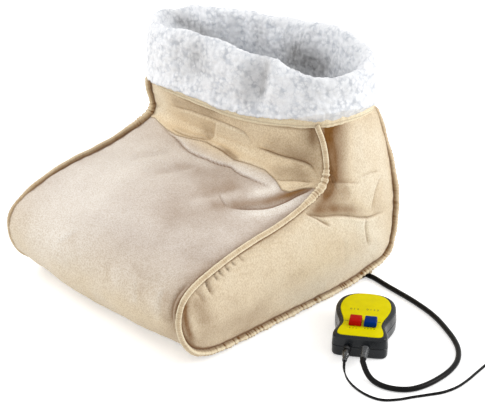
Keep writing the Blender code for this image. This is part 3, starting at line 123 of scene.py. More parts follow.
# share of the way round, rim's height as a share of CUFF_HEIGHT, share of CUFF_PROUD
CUFF_RIM_SHARES = (
    (0.00, 0.70, 0.40), (0.04, 0.79, 0.40), (0.08, 0.90, 0.40), (0.11, 0.88, 0.40), (0.17, 0.99, 0.40),
    (0.245, 1.00, 0.60), (0.31, 0.92, 1.00), (0.37, 0.96, 1.00), (0.43, 0.92, 0.60), (0.51, 0.76, 0.40),
    (0.58, 0.76, 0.40), (0.65, 0.83, 0.40), (0.73, 0.94, 0.40), (0.79, 0.96, 0.40), (0.85, 0.88, 0.40),
    (0.91, 0.66, 0.40), (0.96, 0.65, 0.40), (1.00, 0.70, 0.40),
)
SEAM = np.array(SEAM_SHARES) * (BOOT_LENGTH, COLLAR_HEIGHT, GUSSET_CROWN)
LAST_ROW = len(SEAM) - 1
CORNER_SET = (BINDING_RADIUS + BINDING_GAP) / math.sqrt(2)
SIDE_MIDDLE = np.array(SIDE_CENTRE_SHARES) * (BOOT_LENGTH, COLLAR_HEIGHT)
ROUTE_FINENESS = 40


# Numbers and lines


def read(table, at):
    """A table of pairs, read at numbers between its own."""
    return np.interp(at, *np.array(table).T)


def bell(away, reach):
    """1 at no distance, falling off smoothly over a reach."""
    return np.exp(-(away / reach) ** 2)


def eased(share):
    share = np.clip(share, 0, 1)
    return share * share * (3 - 2 * share)


def unit(ways):
    return ways / np.linalg.norm(ways, axis=-1, keepdims=True)


def run_of(places):
    """How far along its line each place lies."""
    return np.concatenate([[0.0], np.cumsum(np.linalg.norm(np.diff(places, axis=0), axis=1))])


def at_lengths(lengths, run, places):
    return np.stack([np.interp(lengths, run, column) for column in places.T], axis=1)


def catmull(points, at):
    """Places and directions at running numbers along a smooth curve through points."""
    points, at = np.asarray(points, float), np.asarray(at, float)
    led = np.concatenate([[2 * points[0] - points[1]], points, [2 * points[-1] - points[-2]]])
    i = np.clip(np.floor(at).astype(int), 0, len(points) - 2)
    f = (at - i)[..., None]
    p0, p1, p2, p3 = (led[i + k] for k in range(4))
    b, c, d = p2 - p0, 2 * p0 - 5 * p1 + 4 * p2 - p3, 3 * p1 - p0 - 3 * p2 + p3
    return (2 * p1 + b * f + c * f * f + d * f ** 3) / 2, (b + 2 * c * f + 3 * d * f * f) / 2


def smooth_route(points, step):
    """Places a near-equal step apart on a smooth curve through points."""
    fine = catmull(points, np.linspace(0, len(points) - 1, ROUTE_FINENESS * len(points)))[0]
    run = run_of(fine)
    return at_lengths(np.linspace(0, run[-1], max(2, round(run[-1] / step) + 1)), run, fine)


def loop_ways_out(loop):
    way = unit(np.roll(loop, -1, 0) - np.roll(loop, 1, 0))
    out = np.stack([way[:, 1], -way[:, 0]], axis=1)
    return out if ((loop - loop.mean(axis=0)) * out).sum() > 0 else -out


# The boot's shape, as in the CAD source


def seam_at(rows):
    """Y and Z of the binding's middle, the way out of the boot there, and the crown of the cloth between seams."""
    where, way = catmull(SEAM, rows)
    way = unit(way[..., :2])
    return where[..., :2], np.stack([way[..., 1], -way[..., 0]], axis=-1), where[..., 2]


def seam_corner(rows):
    """Where the outer faces of two panels meet inside the binding."""
    where, out, _ = seam_at(rows)
    corner = where - CORNER_SET * out
    corner[..., 1] = np.where(np.isin(rows, (0, LAST_ROW)), COLLAR_HEIGHT, corner[..., 1])
    return corner


SEAM_LINE = seam_corner(np.linspace(0, LAST_ROW, 5 * LAST_ROW + 1))
FINE_ROWS = np.linspace(0, LAST_ROW, 40 * LAST_ROW + 1)
ROW_TABLE = np.column_stack([seam_corner(FINE_ROWS), *seam_at(FINE_ROWS)[1:]])


def half_width(z):
    """From the middle of the boot to the binding's middle, at a height."""
    share = np.maximum(0.0, (z - TAPER_START) / (COLLAR_HEIGHT - TAPER_START))
    return SEAM_WIDTH / 2 - COLLAR_TAPER * share ** 2


def seam_distance(yz):
    """How far places, given as Y and Z, are from the side seam."""
    start, end = SEAM_LINE[:-1], SEAM_LINE[1:]
    along = end - start
    share = np.clip(((yz[:, None] - start) * along).sum(2) / (along ** 2).sum(1), 0, 1)
    return np.linalg.norm(start + share[..., None] * along - yz[:, None], axis=2).min(axis=1)


def side_x(yz):
    """How far out the right side panel stands: it swells with the distance from its seam."""
    swell = 1 - (1 - np.minimum(seam_distance(yz) / BULGE_REACH, 1.0)) ** 2
    return half_width(yz[:, 1]) - CORNER_SET + SIDE_BULGE * swell


def collar_rise(x, y):
    away = np.stack([x - COLLAR_RISE_PLACE[0], y - COLLAR_RISE_PLACE[1]], axis=-1)
    return COLLAR_RISE * bell(away, np.array(COLLAR_RISE_REACH)).prod(axis=-1)


def lean(points):
    """The collar's front sits further back on the right than on the left, and its right side a little higher."""
    points = np.array(points, float)
    x, y, z = points[..., 0], points[..., 1], points[..., 2]
    rise = eased((z - LEAN_START) / (COLLAR_HEIGHT - LEAN_START))
    front = np.clip((SEAM[-1][0] - y) / (SEAM[-1][0] - SEAM[0][0]), 0, 1)
    points[..., 1] = y + COLLAR_LEAN * x / (SEAM_WIDTH / 2) * rise * front
    points[..., 2] = z + collar_rise(points[..., 0], points[..., 1]) * rise
    return points


def gusset_grid(rows, shares, depth=0.0, end_inset=0.0):
    """Places across the boot on rows of the seam, share being -1 at a panel's left edge and 1 at its right."""
    y, z, out_y, out_z, crown = (np.interp(rows, FINE_ROWS, column) for column in ROW_TABLE.T)
    x = shares * (half_width(z) - CORNER_SET - end_inset)
    swell = crown * (1 - np.abs(shares) ** CROWN_POWER) - depth
    top = (rows < 0.001) | (rows > LAST_ROW - 0.001)
    return lean(np.stack([x, y + out_y * swell, np.where(top, COLLAR_HEIGHT, z + out_z * swell)], axis=-1))


def side_loop(count):
    """Y and Z round a side panel's edge: the seam, then the straight top edge under the collar binding."""
    line = seam_corner(np.linspace(0, LAST_ROW, 1200))
    line[:, 1] = np.minimum(line[:, 1], COLLAR_HEIGHT)
    line = np.concatenate([line, line[-1] + (line[0] - line[-1]) * np.linspace(0, 1, 200)[1:, None]])
    run = run_of(line)
    even = np.linspace(0, run[-1], count + 1)[:-1]
    return at_lengths(even, run, line), even


def collar_places(count, coarse_count=48):
    """X and Y round the outer face of the boot's top edge, from the right front corner over the front."""
    across = np.linspace(1, -1, 17)
    pieces = []
    for side, first, last in ((-1, 0.0, LAST_ROW), (1, float(LAST_ROW), 0)):
        pieces.append(gusset_grid(np.full(len(across), first), -side * across)[:, :2])
        start, end = seam_corner(first), seam_corner(last)
        flat = start + (end - start) * np.linspace(0, 1, 11)[1:-1, None]
        pieces.append(lean(np.column_stack([side * side_x(flat), flat]))[:, :2])
    loop = np.concatenate(pieces)
    for _ in range(3):
        loop = (np.roll(loop, 1, 0) + 2 * loop + np.roll(loop, -1, 0)) / 4
    closed = np.concatenate([loop, loop[:1]])
    run = run_of(closed)
    coarse = at_lengths(np.linspace(0, run[-1], coarse_count + 1)[:-1], run, closed)
    ring = np.concatenate([coarse[-2:], coarse, coarse[:3]])
    return catmull(ring, np.linspace(2, 2 + coarse_count, count + 1)[:-1])[0]


def rim_round(shares):
    """The cuff's height and how far it stands proud of the collar, at shares of the way round."""
    table = np.array(CUFF_RIM_SHARES)
    i = np.searchsorted(table[:, 0], shares, side="right") - 1
    share = eased((shares - table[i, 0]) / (table[i + 1, 0] - table[i, 0]))[:, None]
    return (table[i, 1:] + (table[i + 1, 1:] - table[i, 1:]) * share) * (CUFF_HEIGHT, CUFF_PROUD)


def cuff_fold(shares):
    """How far the cuff is drawn in by its folds, at shares of the way round."""
    middles, depths = np.array(CUFF_FOLD_SHARES).T
    away = np.abs((shares[:, None] - middles + 0.5) % 1.0 - 0.5)
    return CUFF_FOLD_DEPTH * (depths * bell(away, CUFF_FOLD_WIDTH_SHARE)).sum(axis=1)


# Pieces in the scene


def placed(name, data, body=None):
    """An object in the scene, which may ride on a body."""
    piece = bpy.data.objects.new(name, data)
    bpy.context.collection.objects.link(piece)
    if body:
        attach(piece, body)
    return piece


def add_camera():
    a, e = CAMERA_AZIMUTH, CAMERA_ELEVATION
    right = Vector((math.cos(a), math.sin(a), 0))
    back = Vector((math.sin(a) * math.cos(e), -math.cos(a) * math.cos(e), math.sin(e)))
    data = bpy.data.cameras.new("camera")
    data.sensor_fit = "HORIZONTAL"
    data.sensor_width = SENSOR_WIDTH
    data.lens = CAMERA_LENS
    data.clip_start = 0.05
    camera = placed("camera", data)
    turn = Matrix((right, back.cross(right), back)).transposed()
    camera.matrix_world = Matrix.Translation(CAMERA_PLACE) @ turn.to_4x4()
    bpy.context.scene.camera = camera
    return np.array(turn)


CAMERA_TURN = add_camera()


# Materials


def linear(colour):
    """A colour written as 0 to 255 screen values, as the shader takes it."""
    return tuple((c / 255 / 12.92 if c < 10.3 else ((c / 255 + 0.055) / 1.055) ** 2.4) for c in colour) + (1.0,)


class Nodes:
    """A material's node tree, with short ways to add and join nodes."""

    def __init__(self, name, **settings):
        self.material = bpy.data.materials.new(name)
        self.material.use_nodes = True
        self.tree = self.material.node_tree
        self.shader = self.tree.nodes["Principled BSDF"]
        for socket, value in settings.items():
            self.shader.inputs[socket.replace("_", " ")].default_value = value
        self.place = self.add("ShaderNodeTexCoord").outputs["Object"]

    def join(self, socket, value):
        if isinstance(value, bpy.types.NodeSocket):
            self.tree.links.new(value, socket)
        else:
            socket.default_value = value

    def add(self, kind, **inputs):
        node = self.tree.nodes.new(kind)
        for key, value in inputs.items():
            if hasattr(node, key) and not isinstance(value, bpy.types.NodeSocket):
                setattr(node, key, value)
            else:
                self.join(node.inputs[key.replace("_", " ")], value)
        return node

    def noise(self, size, detail=3.0, rough=0.55, stretch=None):
        """Noise whose lumps are about size metres across, from 0 to 1."""
        place = self.place
        if stretch:
            place = self.add("ShaderNodeMapping", Vector=place, Scale=stretch).outputs[0]
        return self.add("ShaderNodeTexNoise", Vector=place, Scale=1 / size, Detail=detail,
                        Roughness=rough).outputs["Fac"]

    def cells(self, size, feature):
        node = self.add("ShaderNodeTexVoronoi", feature=feature, Vector=self.place, Scale=1 / size)
        return node.outputs["Distance"]

    def ramp(self, value, *stops):
        node = self.add("ShaderNodeValToRGB", Fac=value)
        ends = node.color_ramp.elements
        while len(ends) < len(stops):
            ends.new(0.5)
        for end, (where, colour) in zip(ends, stops):
            end.position = where
            end.color = linear(colour)
        return node.outputs["Color"]

    def grey(self, value, low, high, start=0.3, end=0.7):
        """Maps a noise's usual range onto a range of plain numbers."""
        return self.add("ShaderNodeMapRange", Value=value, From_Min=start, From_Max=end, To_Min=low,
                        To_Max=high).outputs["Result"]

    def sums(self, first, second, operation="ADD"):
        node = self.add("ShaderNodeMath", operation=operation)
        self.join(node.inputs[0], first)
        self.join(node.inputs[1], second)
        return node.outputs[0]

    def mixed(self, share, first, second, blend="MIX"):
        node = self.add("ShaderNodeMix", data_type="RGBA", blend_type=blend)
        for index, value in ((0, share), (6, first), (7, second)):
            self.join(node.inputs[index], linear(value) if isinstance(value, tuple) else value)
        return node.outputs[2]

    def attribute(self, name):
        return self.add("ShaderNodeAttribute", attribute_name=name).outputs["Fac"]

    def shading_and_patches(self, patches, swing):
        """Painted light and shade, from 0 to 1: the piece's painted shading, from -1 to 1, made uneven by random
        patches.
        """
        painted_shading = self.sums(self.attribute("painted_shading"), 0.5, "MULTIPLY")
        return self.sums(self.sums(painted_shading, 0.5), self.grey(patches, -swing, swing))

    def give(self, socket, value):
        self.tree.links.new(value, self.shader.inputs[socket])

    def bump(self, height, distance, strength):
        """Bump of a height map from 0 to 1 over distance metres."""
        node = self.add("ShaderNodeBump", Height=height, Distance=distance, Strength=strength)
        self.give("Normal", node.outputs[0])


# Heights between which the low cloth's colour fades up into the panel's own, and that into the instep's
LOW_CLOTH_HEIGHTS = (0.045, 0.105)
HIGH_CLOTH_HEIGHTS = (0.134, 0.141)


def suede(name, base, shade_colour, lit_colour, fold, low=None, high=None):
    """Brushed suede cloth: a short nap over a fine weave, uneven in patches. Painted light and shade: each place's
    painted shading runs from the shade colour over base to the lit colour, and the fold colour is painted shade in
    creases and along seams. low and high are the base colours near the floor and on the instep."""
    nodes = Nodes(name, Sheen_Weight=0.25, Sheen_Roughness=0.45, Specular_IOR_Level=0.12, Sheen_Tint=linear(lit_colour))
    patches = nodes.noise(0.040)
    shading_and_patches = nodes.shading_and_patches(patches, 0.07)
    colour = nodes.ramp(shading_and_patches, (0.0, shade_colour), (0.5, base), (1.0, lit_colour))
    if low:
        height = nodes.add("ShaderNodeSeparateXYZ", Vector=nodes.place).outputs["Z"]
        lower = nodes.grey(height, 1.0, 0.0, *LOW_CLOTH_HEIGHTS)
        upper = nodes.grey(height, 0.0, 1.0, *HIGH_CLOTH_HEIGHTS)
        for share, other in ((lower, low), (upper, high)):
            colour = nodes.mixed(share, colour, nodes.ramp(shading_and_patches, (0.0, shade_colour), (0.5, other), (1.0, lit_colour)))
    nap = nodes.noise(0.0015, 2.0, 0.5, stretch=(1.0, 1.5, 0.8))
    fleck = nodes.ramp(nap, (0.38, (220, 210, 196)), (0.60, (255, 255, 255)))
    colour = nodes.mixed(0.65, colour, fleck, "MULTIPLY")
    # The fold colour is painted shade, laid in creases and along seams by the fold attribute
    nodes.give("Base Color", nodes.mixed(nodes.attribute("fold"), colour, fold))
    nodes.give("Roughness", nodes.grey(patches, 0.78, 0.92))
    weave = nodes.noise(0.0009, 2.0, 0.5)
    nodes.bump(nodes.sums(nap, nodes.sums(weave, 0.5, "MULTIPLY")), 0.0007, 0.55)
    return nodes.material


def sherpa(name, white, gap_shade, shade_colour, curl=0.0052, depth=0.0012):
    """Curled white fleece: round curls parted by broken lines of painted shade, under a haze of fine fibres. Where
    its painted shading is below 0 it is painted darker towards the shade colour, most of all between its curls."""
    nodes = Nodes(name, Sheen_Weight=0.35, Sheen_Roughness=0.6, Specular_IOR_Level=0.08, Roughness=0.95)
    warp = nodes.add("ShaderNodeTexNoise", Vector=nodes.place, Scale=210.0, Detail=2.0)
    shifted = nodes.add("ShaderNodeMix", data_type="VECTOR")
    for index, value in ((0, 0.0062), (4, nodes.place), (5, warp.outputs["Color"])):
        nodes.join(shifted.inputs[index], value)
    nodes.place = shifted.outputs[1]
    # Painted shade between the curls: broken lines at their edges, hollows between their middles, and the tufts' gaps
    lines = nodes.grey(nodes.cells(curl, "DISTANCE_TO_EDGE"), 0.55, 0.0, 0.0, 0.18)
    hollows = nodes.grey(nodes.cells(curl, "F1"), 0.0, 0.8, 0.28, 0.72)
    network = nodes.sums(lines, hollows, "MAXIMUM")
    broken = nodes.sums(network, nodes.grey(nodes.noise(0.0105, 2.0, 0.5), 0.12, 1.0, 0.38, 0.62), "MULTIPLY")
    parted = nodes.sums(broken, nodes.sums(nodes.attribute("fold"), 0.8, "MULTIPLY"), "MAXIMUM")
    fine = nodes.noise(0.0013, 3.0, 0.7)
    colour = nodes.mixed(parted, nodes.ramp(fine, (0.30, (240, 241, 244)), (0.50, white)), gap_shade)
    # Painted shade in folds, deepest between the curls
    shaded = nodes.sums(nodes.sums(nodes.attribute("painted_shading"), -1.0, "MULTIPLY"), 0.0, "MAXIMUM")
    amount = nodes.sums(shaded, nodes.sums(nodes.sums(parted, 0.35, "MULTIPLY"), 0.80), "MULTIPLY")
    nodes.give("Base Color", nodes.mixed(amount, colour, shade_colour))
    nodes.bump(nodes.sums(nodes.sums(fine, 0.40, "MULTIPLY"), nodes.sums(parted, -0.35, "MULTIPLY")), depth, 0.6)
    return nodes.material


def tape(name, base, shade_colour, lit_colour, fold):
    """Woven binding tape, ribbed across, its rims painted lighter than its middle, and uneven in patches. Its painted
    shading runs from the shade colour over base to the lit colour, and the fold colour is painted shade where it is
    pinched and along its root, and marks its stitches.
    """
    nodes = Nodes(name, Sheen_Weight=0.25, Sheen_Roughness=0.5, Specular_IOR_Level=0.15, Roughness=0.85)
    patches = nodes.noise(0.009, 3.0, 0.6)
    colour = nodes.ramp(nodes.shading_and_patches(patches, 0.10), (0.0, shade_colour), (0.5, base), (1.0, lit_colour))
    threads = nodes.noise(0.0010, 2.0, 0.5)
    fleck = nodes.ramp(threads, (0.36, (226, 216, 200)), (0.6, (255, 255, 255)))
    colour = nodes.mixed(0.6, colour, fleck, "MULTIPLY")
    nodes.give("Base Color", nodes.mixed(nodes.attribute("fold"), colour, fold))
    nodes.bump(nodes.sums(threads, nodes.sums(patches, 0.8, "MULTIPLY")), 0.0008, 0.6)
    return nodes.material


def moulded(name, base, rough=0.4, grain=0.0005, depth=0.00006, **settings):
    """Moulded plastic with a fine spark-eroded grain, handling marks in its gloss and a slightly uneven colour."""
    nodes = Nodes(name, **settings)
    cloud = nodes.noise(0.012, 3.0, 0.6)
    nodes.give("Base Color", nodes.ramp(cloud, (0.3, tuple(c * 0.95 for c in base)), (0.7, base)))
    nodes.give("Roughness", nodes.grey(cloud, rough * 0.85, min(1.0, rough * 1.2)))
    nodes.bump(nodes.noise(grain, 2.0, 0.6), depth, 0.5)
    return nodes.material


def rubber(name, base, rough=0.35, **settings):
    """Cable jacket: extruded, nearly smooth, with dusty patches and long drawn marks."""
    nodes = Nodes(name, **settings)
    cloud = nodes.noise(0.009, 4.0, 0.6)
    nodes.give("Base Color", nodes.ramp(cloud, (0.4, base), (0.75, tuple(c + 8 for c in base))))
    nodes.give("Roughness", nodes.grey(cloud, rough, rough + 0.2))
    nodes.bump(nodes.noise(0.0011, 2.0, 0.5), 0.00008, 0.4)
    return nodes.material


def ribbed(name, groove_shade, crest_highlight):
    """Moulded rubber ribs: painted shade down in their grooves, and a painted highlight on their crests, uneven in
    scuffs.
    """
    nodes = Nodes(name, Specular_IOR_Level=1.0)
    scuffs_and_highlight = nodes.noise(0.0015, 3.0, 0.6)
    crest_highlight_colour = nodes.ramp(scuffs_and_highlight, (0.35, crest_highlight), (0.70, tuple(c + 24 for c in crest_highlight)))
    nodes.give("Base Color", nodes.mixed(nodes.attribute("fold"), crest_highlight_colour, groove_shade))
    nodes.give("Roughness", nodes.grey(scuffs_and_highlight, 0.18, 0.35))
    nodes.bump(scuffs_and_highlight, 0.00008, 0.4)
    return nodes.material


def metal(name, base, rough=0.3):
    """Drawn metal, with fine marks along it."""
    nodes = Nodes(name, Metallic=1.0)
    cloud = nodes.noise(0.004, 3.0, 0.6)
    nodes.give("Base Color", nodes.ramp(cloud, (0.3, tuple(c * 0.85 for c in base)), (0.7, base)))
    nodes.give("Roughness", nodes.grey(cloud, rough * 0.8, rough * 1.3))
    nodes.bump(nodes.noise(0.0006, 2.0, 0.5, stretch=(1, 1, 6)), 0.00004, 0.4)
    return nodes.material


def felted(name, base, shade, size):
    """Foam, felt or board: a close matt surface with specks."""
    nodes = Nodes(name, Specular_IOR_Level=0.2, Roughness=0.92)
    speck = nodes.noise(size, 3.0, 0.7)
    nodes.give("Base Color", nodes.ramp(speck, (0.35, shade), (0.62, base)))
    nodes.bump(speck, size * 0.4, 0.6)
    return nodes.material


# Each maker of finishes, with the names and values that it takes
FINISHES = {}
for maker, rows in (
    (suede, {
        # base, painted shade colour, painted lit colour, painted crease shade colour; the vamp adds low and instep
        # bases
        "side_suede": ((232, 216, 189), (124, 82, 34), (255, 248, 230), (112, 70, 24)),
        "shaft_suede": ((240, 222, 191), (118, 80, 34), (255, 244, 220), (112, 72, 26)),
        "vamp_suede": ((219, 208, 198), (136, 98, 54), (255, 250, 242), (116, 74, 28), (240, 224, 196),
                       (242, 224, 192)),
        "sole": ((200, 178, 142), (120, 92, 56), (220, 200, 166), (120, 92, 60)),
    }),
    # base, painted shade colour, painted lit colour, and painted shade of pinches and root that also marks stitches
    (tape, {"binding": ((232, 213, 182), (180, 148, 102), (250, 238, 208), (120, 80, 34))}),
    # white, painted shade between curls, painted shade in folds
    (sherpa, {"fleece": ((252, 253, 255), (196, 201, 209), (134, 132, 131))}),
    # painted shade in the grooves, painted highlight on the crests
    (ribbed, {"ribs": ((5, 5, 6), (72, 76, 80))}),
    (metal, {"steel": ((196, 196, 192),), "brass": ((214, 178, 104),)}),
    (felted, {
        "foam": ((214, 208, 186), (176, 168, 142), 0.0018),
        "felt": ((168, 168, 164), (128, 128, 126), 0.0012),
        "board": ((38, 104, 58), (24, 74, 40), 0.0020),
    }),
    (moulded, {
        "print": ((44, 40, 8), 0.5),
        "adaptor_plastic": ((34, 35, 37), 0.5, 0.0009, 0.00015),
        "heating_wire": ((170, 40, 32), 0.4),
        "motor_plastic": ((206, 206, 200), 0.45),
    }),
):
    for name, values in rows.items():
        FINISHES[name] = maker(name, *values)
for maker, name, values, gloss in (
    (moulded, "yellow_plate", ((229, 216, 0), 0.35), 0.03),
    (moulded, "black_plastic", ((19, 23, 27), 0.26, 0.0006, 0.00008), 0.32),
    (moulded, "red_knob", ((180, 12, 4), 0.35), 0.05),
    (moulded, "blue_knob", ((0, 44, 120), 0.35), 0.03),
    (rubber, "cable", ((6, 5, 5), 0.25), 0.14),
    (rubber, "relief", ((12, 12, 13), 0.18), 1.0),
):
    FINISHES[name] = maker(name, *values, Specular_IOR_Level=gloss)


# Meshes


def fill_mesh(data, points, faces):
    sizes = np.array([len(face) for face in faces], np.int32)
    data.vertices.add(len(points))
    data.vertices.foreach_set("co", np.asarray(points, np.float32).ravel())
    data.loops.add(int(sizes.sum()))
    data.loops.foreach_set("vertex_index", np.concatenate([np.asarray(face, np.int32) for face in faces]))
    data.polygons.add(len(faces))
    data.polygons.foreach_set("loop_start", np.concatenate([[0], np.cumsum(sizes)[:-1]]).astype(np.int32))
    data.update(calc_edges=True)


def reworked(data, change):
    """Passes a mesh through the mesh editor, where change is done to it."""
    build = bmesh.new()
    build.from_mesh(data)
    change(build)
    build.to_mesh(data)
    build.free()
    return data


def faced_out(build):
    bmesh.ops.recalc_face_normals(build, faces=build.faces)


def smoothed(data):
    data.polygons.foreach_set("use_smooth", [True] * len(data.polygons))


def mesh_piece(name, points, faces, material, slot=None, body=BODY, fold=None, closed=True, painted_shading=None):
    """A mesh object that rides on a body. fold holds how much painted shade each point takes in creases, seams,
    grooves and gaps, and how dark stitch lines are, from 0 to 1, and painted_shading how much painted shade or
    painted light it takes, from -1 to 1."""
    data = bpy.data.meshes.new(name)
    fill_mesh(data, points, faces)
    if closed:
        reworked(data, faced_out)
    smoothed(data)
    for word, values, least in (("fold", fold, 0), ("painted_shading", painted_shading, -1)):
        if values is not None:
            layer = data.attributes.new(word, "FLOAT", "POINT")
            layer.data.foreach_set("value", np.clip(np.asarray(values, np.float32).ravel(), least, 1))
    data.materials.append(FINISHES[material])
    return placed(name, data, body)


def grid_faces(rows, columns, wrap_rows=False, wrap_columns=False):
    """Four-sided faces between the places of a grid, which may close on itself either way."""
    i, j = np.mgrid[:rows if wrap_rows else rows - 1, :columns if wrap_columns else columns - 1]
    k, m = (i + 1) % rows, (j + 1) % columns
    corners = np.stack([i * columns + j, i * columns + m, k * columns + m, k * columns + j], axis=-1)
    return corners.reshape(-1, 4).tolist()


def tube_faces(rings, sides, closed=False):
    """Faces round a tube of rings, with one over each end unless it closes on itself."""
    faces = grid_faces(rings, sides, closed, True)
    if not closed:
        last = (rings - 1) * sides
        faces += [list(range(sides)), list(range(last, last + sides))[::-1]]
    return faces


def noise_field(points, size, seed=0.0, octaves=2):
    """Smooth noise at places, about from -1 to 1."""
    shift = Vector((seed * 7.31, seed * 3.17, seed * 5.23))
    total = np.zeros(len(points))
    for k in range(octaves):
        scale = 2 ** k / size
        total += [noise.noise(Vector(p) * scale + shift) / 2 ** k for p in points]
    return total


def ripple(length, pitch, seed):
    """Uneven waves along a seam: numbers about from -1 to 1 at running lengths."""
    return np.array([noise.noise(Vector((along, seed * 3.7, 0))) for along in length / pitch]) * 2


def grid_normals(grid):
    """The way out of a grid of places, at each place."""
    way = np.cross(np.gradient(grid, axis=1), np.gradient(grid, axis=0))
    return way / np.maximum(np.linalg.norm(way, axis=2), 1e-12)[..., None]


def skirted(grid, inward):
    """A grid of places with one more place all round, moved by inward, so that the cloth turns under at its edges."""
    full = np.pad(grid + inward, ((1, 1), (1, 1), (0, 0)), mode="edge")
    full[1:-1, 1:-1] = grid
    return full


def spread(values):
    """Values of a grid, repeated for the places that its skirt adds."""
    return np.pad(values, 1, mode="edge")


# Creases, and the painted light and shade of the cloth, drawn where the photograph shows them

# Painted shade along a crease's bottom: how dark, the depth in millimetres below which there is none, the depths
# over which it grows, and its width as a share of the crease's; then painted light and shade on its two sides
CREASE_SHADE = 0.80
FAINT_DEPTH = 0.6
CREASE_SHADE_RANGE = 1.6
CREASE_SHADE_WIDTH_SHARE = 0.62
CREASE_LIT = 0.26
CREASE_SHADED = 0.34
CREASE_END_FADE = 4.5
# the low bank of cloth beside a crease: shares of the crease's depth and of its half width
BANK_HEIGHT_SHARE = 0.25
BANK_PLACE_SHARE = 2.2
BANK_WIDTH_SHARE = 1.3


def pixels(points):
    """Where places appear in the photograph's frame, 485 by 405 pixels."""
    seen = (np.asarray(points) - CAMERA_PLACE) @ CAMERA_TURN
    focal = CAMERA_LENS / SENSOR_WIDTH * FRAME_WIDTH
    return np.column_stack([FRAME_WIDTH / 2 - focal * seen[:, 0] / seen[:, 2],
                            FRAME_HEIGHT / 2 + focal * seen[:, 1] / seen[:, 2]])


def line_distance(places, line):
    """How far flat places are from a polyline, which side they are on, and how far along it, from 0 to 1."""
    line = np.asarray(line, float)
    fine = smooth_route(line, max(1.0, np.ptp(line)) / 24) if len(line) > 2 else line
    start, along = fine[:-1], np.diff(fine, axis=0)
    share = np.clip(((places[:, None] - start) * along).sum(2) / (along ** 2).sum(1), 0, 1)
    away = places[:, None] - (start + share[..., None] * along)
    distance = np.linalg.norm(away, axis=2)
    nearest = distance.argmin(axis=1)
    rows = np.arange(len(places))
    side = np.sign(along[nearest, 0] * away[rows, nearest, 1] - along[nearest, 1] * away[rows, nearest, 0])
    return distance[rows, nearest], side, (nearest + share[rows, nearest]) / len(along)


def painted_spot_shading(places, shading_spots):
    """Painted light and shade near lines: each spot has its line, its reach and its amount, below 0 painted shade and
    above 0 painted light, and fades towards the line's ends."""
    painted_shading = np.zeros(len(places))
    for line, reach, amount in shading_spots:
        distance, _, along = line_distance(places, line)
        fade = np.clip(0.4 + 3 * np.minimum(along, 1 - along), 0, 1)
        painted_shading += amount * fade * bell(distance, reach)
    return painted_shading


def creased(places, creases):
    """How far creases push cloth out, in metres, how dark the painted shade along their bottoms is, and the painted
    light and shade on their two sides. Each crease has its line, its depth in millimetres, its half width, how far
    the cloth on its left stands up, in millimetres, and how far that reaches."""
    push, crease_shade, painted_shading = np.zeros((3, len(places)))
    for line, depth, width, lift, reach in creases:
        distance, side, along = line_distance(places, line)
        ends = eased(np.minimum(along, 1 - along) * CREASE_END_FADE)
        valley = bell(distance, width)
        near = bell(distance, reach)
        bank = BANK_HEIGHT_SHARE * bell(distance - BANK_PLACE_SHARE * width, BANK_WIDTH_SHARE * width)
        push += MM * ends * (depth * (bank - valley) + lift * (side > 0) * near * (1 - valley))
        line_shade = CREASE_SHADE * np.clip((depth - FAINT_DEPTH) / CREASE_SHADE_RANGE, 0, 1)
        crease_shade = np.maximum(crease_shade, bell(distance, CREASE_SHADE_WIDTH_SHARE * width) * ends * line_shade)
        painted_shading += np.where(side > 0, CREASE_LIT, -CREASE_SHADED) * near * ends * lift * np.tanh(distance / width)
    return push, crease_shade, painted_shading


def marked(grid, out, creases, shading_spots):
    """What creases and painted spots do to a grid of places, where it faces the camera: push, painted crease shade,
    and painted light and shade.
    """
    facing = np.clip(((CAMERA_PLACE - grid) * out).sum(-1) * 4, 0, 1)
    seen = pixels(grid.reshape(-1, 3))
    push, crease_shade, painted_shading = creased(seen, creases)
    return [facing * values.reshape(facing.shape) for values in (push, crease_shade, painted_shading + painted_spot_shading(seen, shading_spots))]


# Cloth panels

EDGE_TUCK = 0.0003
EDGE_CROWDING = 0.25
SEAM_SHADE = 0.85
SEAM_SHADE_START = 0.0026
SEAM_SHADE_REACH = 0.0014
SEAM_HOLD = 0.004
LIP_SHADE = 0.55
LIP_ROUNDING = 0.0025
EDGE_SHADE = 0.20
EDGE_REACH = 0.010
PUCKER_DEPTH = 0.0009
PUCKER_PITCH = 0.010
PUCKER_START = 0.002
FINE_PUFF = 0.0004
FINE_PUFF_SIZE = 0.012
SIDE_PUFF = 0.0014


def seam_shade(away):
    """The line of painted shade where cloth runs in under the tape."""
    return SEAM_SHADE * bell(np.maximum(away - SEAM_SHADE_START, 0), SEAM_SHADE_REACH)


def puffed(points, puff, size, seed):
    """How far the padding swells the cloth, in large soft lumps and small ones."""
    return puff * noise_field(points, size, seed) + FINE_PUFF * noise_field(points, FINE_PUFF_SIZE, seed + 3)


def puckered(away, waves, reach):
    """Puckers where the cloth is gathered into its seam."""
    return PUCKER_DEPTH * waves * bell(away, reach) * (1 - bell(away, PUCKER_START))


def seam_steps(first, last, step):
    """Shares of the way between two rows of the seam, a near-equal step apart, and how far along it each lies."""
    fine = np.linspace(first, last, 400)
    run = run_of(seam_corner(fine))
    lengths = np.linspace(0, run[-1], int(run[-1] / step))
    return np.interp(lengths, run, (fine - first) / (last - first))[:, None], lengths


def outwards(grid, rows):
    """The ways out of the boot on a panel's grid."""
    out = grid_normals(grid)
    return out if (out[:, grid.shape[1] // 2, 1:] * seam_at(rows)[1]).sum() > 0 else -out


